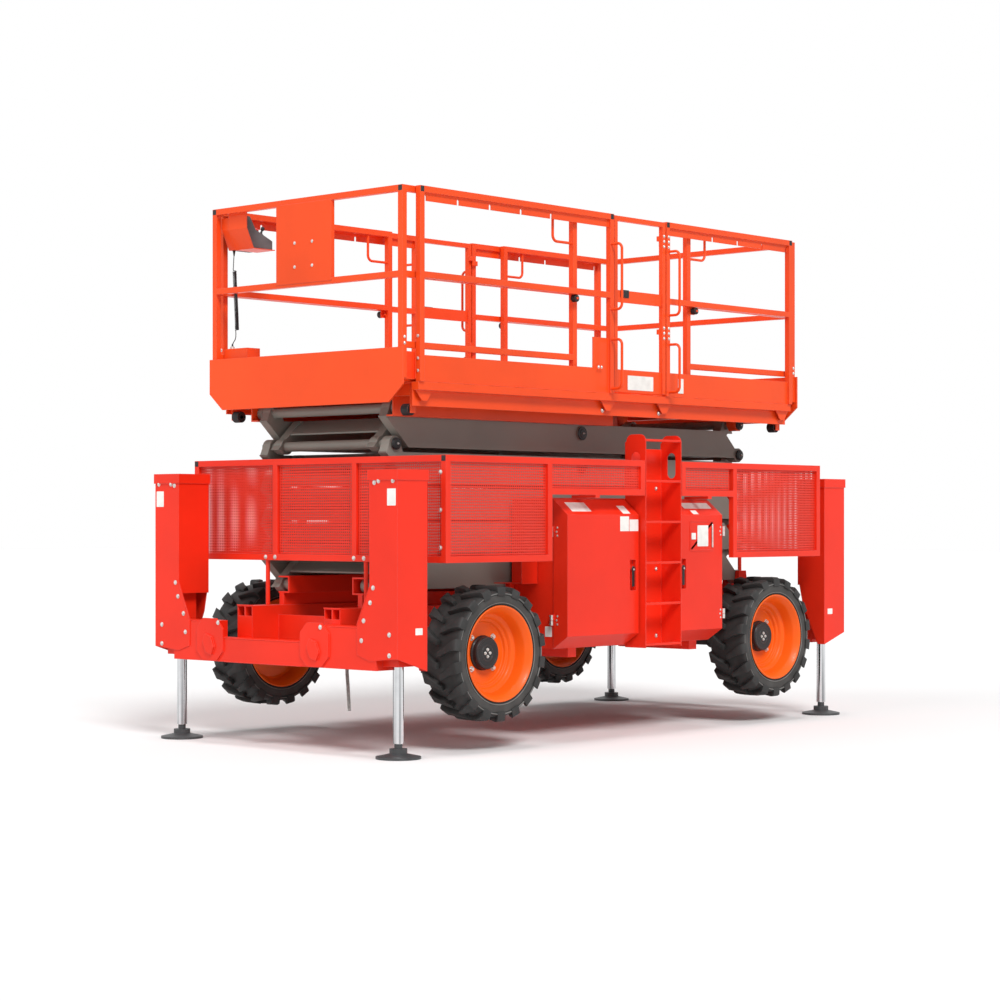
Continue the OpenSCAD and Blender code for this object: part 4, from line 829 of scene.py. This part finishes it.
panels = []
for y in (guard_y, -guard_y):
    for x0, x1, z0 in ((0.970, guard_end, guard_low), (0.054, 0.970, guard_mid),
                       (-guard_end, -0.904, guard_low), (-0.904, -0.336, guard_mid)):
        panels.append(punched("side_panel", x0 + grid_edge, x1 - grid_edge, z0 + grid_edge,
                              guard_high - grid_edge, "X", y))
for x in (guard_x, -guard_x):
    for y0, y1 in ((-guard_side, -guard_post), (-guard_post, guard_post), (guard_post, guard_side)):
        panels.append(punched("end_panel", y0 + grid_edge, y1 - grid_edge, guard_low + grid_edge,
                              guard_high - grid_edge, "Y", x))
grille = joined("guard_grille", panels)
grille.data.materials.append(guard_red)
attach(grille, "chassis")
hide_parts("guard_mesh")

# Fixings of the guards: black plastic plugs in the open tube ends at the corners, and dome bolts
# that hold the end frames to the side frames.
plugs = []
guard_bolts = []
for ex in (1, -1):
    for sy in (1, -1):
        corner = (ex * guard_end, sy * guard_y, 1.779)
        plugs.append(flat_plate(corner, (ex, 0, 0), 0.034, 0.034, 0.0012, 0.003))
        for z in (1.695, 1.470, 1.245):
            guard_bolts.append(((ex * guard_end, sy * 1.105, z), (ex, 0, 0)))
        guard_bolts.append(((ex * guard_end, sy * guard_post, 1.175), (ex, 0, 0)))
        guard_bolts.append(((ex * guard_end, sy * 0.450, 1.175), (ex, 0, 0)))
plug_black = rubber("plug_black", (0.012, 0.012, 0.013), 500)
carried(joined("guard_plugs", plugs), "guard_plugs", "chassis", plug_black)
fixed("guard_bolts", dome_bolt, guard_bolts, "chassis", zinc_plate)

# Cabinets and engine: folded and welded sheet in the chassis red, with a blank white plate low on
# each front face. The engine is a plain block in dark grey, behind the doors.
for name in ("cabinet_left", "cabinet_right"):
    finish_node(name, chassis_red)
cabinet_front = 0.765
engine_grey = enamel("engine_grey", (0.045, 0.047, 0.05), 0.5)
finish_node("engine_block", engine_grey)
cabinet_labels = [flat_plate((cabinet_front, side * 0.935, 0.700), (1, 0, 0), 0.058, 0.066, label_t, 0.004)
                  for side in (1, -1)]
carried(joined("cabinet_labels", cabinet_labels), "cabinet_labels", "chassis", blank_white)

# Doors: deep folded pans of red sheet. Each has a black paddle latch in a pocket, two zinc-plated
# hinges with screwed leaves, and blank white plates. The rear doors have a small flap window with
# its own hinge rod and catch.
door_face = 1.100
paddle_face = 1.092
latch_z = 1.046
rosette_z = latch_z + 0.042
slope_y = (0.980 + door_face) / 2
slope_z = (1.544 + 1.444) / 2
slope_out = (0, 100, 120)
hinge_heights = (0.740, 1.302)
screw_rises = (0.008, 0.034, 0.060)
screw_section = [(0, 0), (0, 0.0075), (0.0016, 0.0070), (0.0034, 0.0045), (0.0040, 0)]
screw = turned("screw", screw_section, (0, 0, 0), (0, 0, 1), 8)
black_paint = enamel("black_paint", (0.018, 0.018, 0.019), 0.3)
for end, side in corners:
    body = f"door_{side}_{end}"
    finish_node(body, chassis_red)
    sy = 1 if side == "left" else -1
    front = end == "front"
    latch_x = 0.108 if front else -0.422
    paddle_at = (latch_x, sy * paddle_face, latch_z - 0.004)
    handle = [flat_plate(paddle_at, (0, sy, 0), 0.025, 0.134, 0.003, 0.008),
              turned("rosette", [(0, 0), (0, 0.017), (0.003, 0.017), (0.006, 0.013), (0.007, 0)],
                     (latch_x, sy * (paddle_face + 0.001), rosette_z), (0, sy, 0), 24)]
    carried(joined("latch", handle), f"latch_handle_{side}_{end}", body, black_paint)
    keyhole = turned("keyhole", [(0, 0), (0, 0.007), (0.002, 0.006), (0.0025, 0)],
                     (latch_x, sy * (paddle_face + 0.0075), rosette_z), (0, sy, 0), 16)
    carried(keyhole, f"latch_key_{side}_{end}", body, zinc_plate)
    out = (0, sy * slope_out[1], slope_out[2])
    if front:
        places = [((0.600, sy * slope_y, slope_z), out, 0.190, 0.090),
                  ((0.170, sy * (slope_y + 0.02), slope_z - 0.0167), out, 0.075, 0.080),
                  ((0.205, sy * door_face, 1.386), (0, sy, 0), 0.090, 0.096),
                  ((0.110, sy * door_face, 1.376), (0, sy, 0), 0.090, 0.076)]
    else:
        places = [((-0.640, sy * (slope_y - 0.015), slope_z + 0.0125), out, 0.300, 0.060),
                  ((-0.560, sy * (slope_y + 0.038), slope_z - 0.0317), out, 0.060, 0.040)]
    labels = [flat_plate(place, face, w, h, label_t, 0.003) for place, face, w, h in places]
    carried(joined("labels", labels), f"door_labels_{side}_{end}", body, blank_white)
    hinge_screws = []
    for z in hinge_heights:
        for i, dz in enumerate(screw_rises):
            if front:
                hinge_screws.append(((0.770, sy * (1.014 - 0.006 * (i == 1)), z + dz), (1, 0, 0)))
            else:
                hinge_screws.append(((-0.822 + 0.006 * (i == 1), sy * door_face, z + dz), (0, sy, 0)))
    fixed(f"hinge_screws_{side}_{end}", screw, hinge_screws, body, zinc_plate)
hinge_r = 0.0112
sleeve_h = 0.034
sleeve = [(0.0005, 0), (0.0005, hinge_r - 0.001), (0.0015, hinge_r + 0.0006), (0.0325, hinge_r + 0.0006),
          (0.0335, hinge_r - 0.001), (0.0335, 0)]
for end, side in corners:
    sy = 1 if side == "left" else -1
    hinge = (0.784, sy * 0.9775) if end == "front" else (-0.854, sy * 1.100)
    low = [turned("sleeve", sleeve, (*hinge, z), (0, 0, 1), 20) for z in hinge_heights]
    carried(joined("sleeves", low), f"hinge_low_{side}_{end}", "chassis", zinc_plate)
    high = [turned("sleeve", sleeve, (*hinge, z + sleeve_h), (0, 0, 1), 20) for z in hinge_heights]
    carried(joined("sleeves", high), f"hinge_high_{side}_{end}", f"door_{side}_{end}", zinc_plate)
frame_screws = []
for sy in (1, -1):
    for z in hinge_heights:
        for i, dz in enumerate(screw_rises):
            frame_screws.append(((cabinet_front, sy * (0.947 + 0.006 * (i == 1)), z + dz), (1, 0, 0)))
fixed("cabinet_screws", screw, frame_screws, "chassis", zinc_plate)
for side, sy in (("left", 1), ("right", -1)):
    body = f"door_{side}_rear"
    flap = (-0.613, sy * door_face, 1.304)
    flap_rim = flat_plate(flap, (0, sy, 0), 0.262, 0.208, 0.004, 0.010)
    flap_rim.data.transform(upright(flap, (0, sy, 0)).inverted())
    pick(flap_rim, "FACE", lambda f: f.normal.z > 0.9 and f.area > 0.02)
    bpy.ops.mesh.inset(thickness=0.009, depth=0)
    bpy.ops.mesh.inset(thickness=0.002, depth=-0.0028)
    bpy.ops.object.mode_set(mode="OBJECT")
    flap_rim.data.transform(upright(flap, (0, sy, 0)))
    carried(flap_rim, f"flap_frame_{side}", body, chassis_red)
    pane = flat_plate((-0.622, sy * (door_face + 0.0012), 1.304), (0, sy, 0), 0.118, 0.142, 0.0022, 0.006)
    catch = flat_plate((-0.520, sy * (door_face + 0.0012), 1.302), (0, sy, 0), 0.046, 0.044, 0.0045, 0.004)
    carried(joined("pane", [pane, catch]), f"flap_pane_{side}", body, blank_white)
    rod = turned("rod", [(0, 0), (0, 0.0055), (0.002, 0.0065), (0.155, 0.0065), (0.157, 0.0055), (0.157, 0)],
                 (-0.724, sy * (door_face + 0.006), 1.226), (0, 0, 1), 14)
    carried(rod, f"flap_hinge_{side}", body, zinc_plate)

# Ladders: folded back plates with flat stringers and rungs, in the chassis red. Dome bolts hold them
# to the cabinets.
finish_node("ladders", chassis_red)
ladder_bolts = []
for sy in (1, -1):
    for x in (-0.270, -0.012):
        for z in (1.620, 1.085, 0.640):
            ladder_bolts.append(((x, sy * 0.9815, z), (0, sy, 0)))
fixed("ladder_bolts", dome_bolt, ladder_bolts, "chassis", zinc_plate)

# Scissor arms: heavy plate arms in warm grey, pinned at their middles and their ends. Each pin
# ends in a ribbed black boss with a grease nipple.
arm_grey = enamel("arm_grey", (0.250, 0.240, 0.210), 0.42)
pin_front = 1.790
pin_rear = -1.720
pin_mid = 0.035
pin_end = 0.585
pin_mid_end = 0.592
level_rise = 0.220
boss_section = [(0, 0), (0, 0.036), (0.003, 0.038), (0.004, 0.034), (0.008, 0.034), (0.009, 0.037),
                (0.013, 0.037), (0.014, 0.031), (0.018, 0.029), (0.020, 0.010), (0.020, 0)]
nipple_section = [(0, 0), (0, 0.0065), (0.006, 0.0065), (0.007, 0.004), (0.012, 0.0035), (0.014, 0)]
collar_section = [(0, 0), (0, 0.046), (0.005, 0.046), (0.007, 0.043), (0.007, 0.030), (0.011, 0.027),
                  (0.012, 0)]
for level in range(1, 6):
    inner = f"inner_{level}"
    outer = f"outer_{level}"
    finish_node(f"inner_arms_{level}", arm_grey)
    finish_node(f"outer_arms_{level}", arm_grey)
    z_mid = 0.890 + level_rise * level
    z_high = 1.000 + level_rise * level
    for body, x, z, section, start in ((outer, pin_front, z_high, boss_section, pin_end),
                                       (inner, pin_rear, z_high, boss_section, pin_end),
                                       (outer, pin_mid, z_mid, collar_section, pin_mid_end)):
        where = "end" if x != pin_mid else "mid"
        bosses = []
        nipples = []
        depth = section[-1][0]
        for sy in (1, -1):
            bosses.append(turned("boss", section, (x, sy * start, z), (0, sy, 0), 28))
            seat = (x, sy * (start + depth - 0.001), z)
            nipples.append(turned("nipple", nipple_section, seat, (0, sy, 0), 10))
        carried(joined("bosses", bosses), f"pin_{where}_{body}", body, black_paint)
        carried(joined("nipples", nipples), f"nipple_{where}_{body}", body, zinc_plate)

# Lift cylinders: black enamelled barrels with chromed rods, pinned between the arms on two levels
# of the stack.
for name in ("lower_barrel", "upper_barrel"):
    finish_node(name, axle_black)
rod_chrome = zinc("rod_chrome", (0.80, 0.81, 0.83))
for name in ("lower_rod", "upper_rod"):
    finish_node(name, rod_chrome)

# Platform deck: a welded tray of folded sheet in orange-red, with raised studs on the floor so that
# boots grip, and dome bolts on its sides.


def tread_enamel(name, colour, floor_z):
    """The platform's enamel with raised round studs pressed into the floor sheet."""
    material = enamel(name, colour)
    tree = material.node_tree
    bump = next(n for n in tree.nodes if n.type == "BUMP")
    peel = bump.inputs["Height"].links[0].from_socket
    place = next(n for n in tree.nodes if n.type == "TEX_COORD").outputs["Object"]
    turn = tree.nodes.new("ShaderNodeMapping")
    turn.inputs["Rotation"].default_value = (0, 0, math.radians(45))
    turn.inputs["Scale"].default_value = (34, 34, 0)
    studs = tree.nodes.new("ShaderNodeTexVoronoi")
    studs.inputs["Scale"].default_value = 1
    studs.inputs["Randomness"].default_value = 0
    shape = tree.nodes.new("ShaderNodeMapRange")
    shape.inputs["From Min"].default_value = 0.34
    shape.inputs["From Max"].default_value = 0.24
    tree.links.new(place, turn.inputs["Vector"])
    tree.links.new(turn.outputs["Vector"], studs.inputs["Vector"])
    tree.links.new(studs.outputs["Distance"], shape.inputs["Value"])
    facing = tree.nodes.new("ShaderNodeNewGeometry").outputs["True Normal"]
    level = worked_out(tree, "GREATER_THAN", upward(tree, facing), 0.9)
    on_floor = worked_out(tree, "COMPARE", upward(tree, place), floor_z, 0.004)
    mask = worked_out(tree, "MULTIPLY", level, on_floor)
    raised = worked_out(tree, "MULTIPLY", shape.outputs["Result"], mask)
    total = worked_out(tree, "MULTIPLY_ADD", raised, 70, peel)
    tree.links.new(total, bump.inputs["Height"])
    return material


orange_red = (0.84, 0.074, 0.011)
deck_floor = 2.245
deck_red = tread_enamel("deck_red", orange_red, deck_floor)
finish_node("platform_deck", deck_red)
deck_bolts = []
for sy in (1, -1):
    for x in (0.111, -0.480):
        for z in (2.186, 2.133):
            deck_bolts.append(((x + 0.030, sy * 0.857, z), (0, sy, 0)))
fixed("deck_bolts", dome_bolt, deck_bolts, "platform", zinc_plate)

# Deck rollers: four black nylon wheels under the corners of the deck. Each is a sleeve over the
# roller that the deck carries.
wheel_section = [(0, 0), (0, 0.034), (0.003, 0.0365), (0.059, 0.0365), (0.062, 0.034), (0.062, 0)]
deck_rollers = []
for ex in (1, -1):
    for sy in (1, -1):
        deck_rollers.append(turned("roller", wheel_section, (ex * 1.873, sy * 0.744, 2.080), (0, sy, 0), 32))
nylon_black = rubber("nylon_black", (0.013, 0.013, 0.014), 500)
carried(joined("deck_rollers", deck_rollers), "deck_rollers", "platform", nylon_black)

# Seam of the deck: the toe boards are stitch-welded to the tray, a short bead and a gap in turn,
# and painted over with the deck.
seam_beads = []
seam_y = 0.9035
seam_z = 2.246
stitch = 0.085
stitch_pitch = 0.230
for sy in (1, -1):
    x = -1.80
    while x < 1.78:
        seam_beads.append(bead((x, sy * seam_y, seam_z), (x + stitch, sy * seam_y, seam_z)))
        x += stitch_pitch
carried(joined("deck_seams", seam_beads), "deck_seams", "platform", deck_red)

# Platform rails: square tube posts and rails with notched strips, grab bars and corner plates, all
# welded and painted with the deck. Black plugs close the tubes' ends, small dome bolts stand on the
# posts, and each toe board has a blank white plate.
platform_red = enamel("platform_red", orange_red)
finish_node("platform_rails", platform_red)
rail_face = 0.919
plug_z = 3.405
toe_label_z = 2.322
gate_bolt_heights = (3.325, 3.290, 3.255, 2.706, 2.671, 2.636)
rail_plugs = []
rail_bolts = []
for sy in (1, -1):
    for x in (0.111, 1.894, -1.894, -0.480):
        rail_plugs.append(flat_plate((x, sy * rail_face, plug_z), (0, sy, 0), 0.030, 0.034, 0.0008, 0.003))
    for ex in (1, -1):
        for z in (2.519, 2.384, 2.310):
            rail_bolts.append(((ex * 1.913, sy * 0.900, z), (ex, 0, 0)))
    for x in (0.228, 0.259):
        rail_bolts.append(((x, sy * 0.925, 2.410), (0, sy, 0)))
    for z in gate_bolt_heights:
        rail_bolts.append(((-0.484, sy * rail_face, z), (0, sy, 0)))
carried(joined("rail_plugs", rail_plugs), "rail_plugs", "platform", plug_black)
small_dome = [(a * 0.72, r * 0.72) for a, r in dome_section]
small_bolt = turned("small_bolt", small_dome, (0, 0, 0), (0, 0, 1), 10)
fixed("rail_bolts", small_bolt, rail_bolts, "platform", zinc_plate)
toe_labels = []
for sy in (1, -1):
    toe_labels.append(flat_plate((-0.632, sy * 0.905, toe_label_z), (0, sy, 0), 0.060, 0.100, label_t, 0.004))
carried(joined("toe_labels", toe_labels), "toe_labels", "platform", blank_white)

# Gates: light welded frames that swing inwards, with a black spring latch on the mid plate, bolted
# hinge leaves and a blank plate on the toe board.
for side, sy in (("left", 1), ("right", -1)):
    body = f"gate_{side}"
    finish_node(body, platform_red)
    gate_bolts = [((-0.437, sy * 0.916, z), (0, sy, 0)) for z in gate_bolt_heights]
    fixed(f"gate_bolts_{side}", small_bolt, gate_bolts, body, zinc_plate)
    catch = [flat_plate((-0.030, sy * 0.905, 2.908), (0, sy, 0), 0.090, 0.052, 0.004, 0.006),
             flat_plate((-0.022, sy * 0.909, 2.908), (0, sy, 0), 0.036, 0.040, 0.008, 0.006)]
    carried(joined("catch", catch), f"gate_catch_{side}", body, black_paint)
    gate_plate = flat_plate((-0.200, sy * 0.904, toe_label_z), (0, sy, 0), 0.270, 0.096, label_t, 0.005)
    carried(gate_plate, f"gate_plate_{side}", body, blank_white)

# Extension decks: two sliding trays with their own rails and end plates, in the platform's enamel.
# They run on black nylon rollers, and black plugs close their top rails.
extension_floor = 2.264
for end in ("front", "rear"):
    finish_node(f"{end}_extension_deck", tread_enamel(f"{end}_deck_red", orange_red, extension_floor))
    finish_node(f"{end}_extension_rails", platform_red)
roller_section = [(0, 0), (0, 0.0215), (0.003, 0.0235), (0.0325, 0.0235), (0.0355, 0.0215), (0.0355, 0)]
for end, ex, inner in (("front", 1, 0.447), ("rear", -1, 0.788)):
    body = f"{end}_extension"
    rollers = []
    end_bolts = []
    for sy in (1, -1):
        x = ex * (inner + 0.030 - 0.019)
        rollers.append(turned("roller", roller_section, (x, sy * 0.8768, 2.845), (0, sy, 0), 24))
        for z in (2.511, 2.474):
            end_bolts.append(((ex * 1.996, sy * 0.869, z), (0, sy, 0)))
    for sy in (1, -1):
        rollers.append(flat_plate((ex * 2.015, sy * 0.850, plug_z), (ex, 0, 0), 0.032, 0.032, 0.001, 0.003))
    carried(joined("rollers", rollers), f"guide_rollers_{end}", body, plug_black)
    if end == "front":
        for y in (0.080, -0.080):
            for z in (2.995, 3.145):
                end_bolts.append(((2.018, y, z), (1, 0, 0)))
    fixed(f"extension_bolts_{end}", small_bolt, end_bolts, body, zinc_plate)

# Control box: a moulded grey plastic housing with a sloping panel, and a folded cheek of red sheet on
# its outer side. It carries a joystick in a ribbed boot, a red stop button with a mushroom head, a
# row of toggles and a row of push buttons.
control_plastic = rubber("control_plastic", (0.072, 0.071, 0.073), 500)
finish_node("control_box", control_plastic)
cheek_from = -0.826
cheek_to = -0.754
cheek_t = 0.0014
cheek_line = [(1.9725, 3.367), (1.9725, 3.290), (1.9125, 3.1645), (1.880, 3.1645)]
deselect()
bpy.ops.mesh.primitive_plane_add(size=1)
cheek = bpy.context.object
bpy.ops.object.mode_set(mode="EDIT")
bpy.ops.mesh.select_mode(type="VERT")
bpy.ops.mesh.select_all(action="SELECT")
bpy.ops.mesh.merge(type="CENTER")
bpy.ops.transform.translate(value=(cheek_line[0][0], cheek_from, cheek_line[0][1]))
for (x0, z0), (x1, z1) in zip(cheek_line, cheek_line[1:]):
    bpy.ops.mesh.extrude_region_move(TRANSFORM_OT_translate={"value": (x1 - x0, 0, z1 - z0)})
bpy.ops.mesh.select_all(action="SELECT")
bpy.ops.mesh.extrude_region_move(TRANSFORM_OT_translate={"value": (0, cheek_to - cheek_from, 0)})
bpy.ops.mesh.select_all(action="SELECT")
bpy.ops.mesh.normals_make_consistent(inside=False)
bpy.ops.object.mode_set(mode="OBJECT")
cheek_wall = cheek.modifiers.new("sheet", "SOLIDIFY")
cheek_wall.thickness = cheek_t
cheek_wall.offset = 0
bpy.ops.object.modifier_apply(modifier="sheet")
carried(cheek, "hood_cheek", "front_extension", platform_red)
panel_low = Vector((1.738, 0, 3.2215))
panel_high = Vector((1.8815, 0, 3.2855))
panel_out = Vector((-(panel_high - panel_low).z, 0, (panel_high - panel_low).x)).normalized()


def on_panel(share, y):
    """A point of the sloping panel, by its share of the way up and its place across."""
    point = panel_low.lerp(panel_high, share)
    return Vector((point.x, y, point.z))


boot_section = [(-0.001, 0), (-0.001, 0.026), (0.004, 0.026), (0.006, 0.022), (0.010, 0.023), (0.013, 0.018),
                (0.017, 0.019), (0.020, 0.014), (0.024, 0.015), (0.027, 0.008), (0.048, 0.006),
                (0.052, 0.011), (0.066, 0.013), (0.072, 0.009), (0.073, 0)]
controls = [turned("boot", boot_section, on_panel(0.42, -0.655), panel_out, 28)]
for i in range(3):
    toggle = [(-0.001, 0), (-0.001, 0.008), (0.004, 0.007), (0.006, 0.0035), (0.020, 0.0045), (0.021, 0)]
    controls.append(turned("toggle", toggle, on_panel(0.75, -0.720 - 0.030 * i), panel_out, 14))
for i in range(4):
    button = [(-0.001, 0), (-0.001, 0.0085), (0.005, 0.0085), (0.0065, 0.007), (0.0065, 0)]
    controls.append(turned("button", button, on_panel(0.30, -0.700 - 0.026 * i), panel_out, 14))
carried(joined("controls", controls), "panel_controls", "front_extension", plug_black)
stop_section = [(-0.001, 0), (-0.001, 0.013), (0.010, 0.012), (0.012, 0.020), (0.019, 0.020),
                (0.024, 0.014), (0.025, 0)]
stop = turned("stop", stop_section, on_panel(0.80, -0.640), panel_out, 28)
stop_red = enamel("stop_red", (0.62, 0.012, 0.010), 0.3)
carried(stop, "stop_button", "front_extension", stop_red)

# Strain reliefs of the lead: tapered rubber sleeves, one under the control box and one on the socket
# box, where a zinc-plated connector ring locks on.
relief = [(0, 0), (0, 0.0105), (0.006, 0.0105), (0.008, 0.0088), (0.040, 0.0036), (0.040, 0)]
relief_top = turned("relief", relief, lead_line[0] + Vector((0, 0, 0.001)), (0, 0, -1), 20)
relief_low = turned("relief", relief, lead_line[-1] - Vector((0, 0, 0.001)), (0, 0, 1), 20)
carried(joined("reliefs", [relief_top, relief_low]), "lead_reliefs", "front_extension", lead_rubber)
connector = [(0, 0), (0, 0.019), (0.006, 0.019), (0.008, 0.015), (0.016, 0.015), (0.018, 0.012),
             (0.020, 0.012), (0.020, 0)]
connector_ring = turned("connector", connector, lead_line[-1] - Vector((0, 0, 0.0005)), (0, 0, 1), 24)
carried(connector_ring, "lead_connector", "front_extension", zinc_plate)

# The fasteners that were only copied from aren't part of the machine.
for part in (dome_bolt, small_bolt, screw, nut, small_nut):
    bpy.data.objects.remove(part)
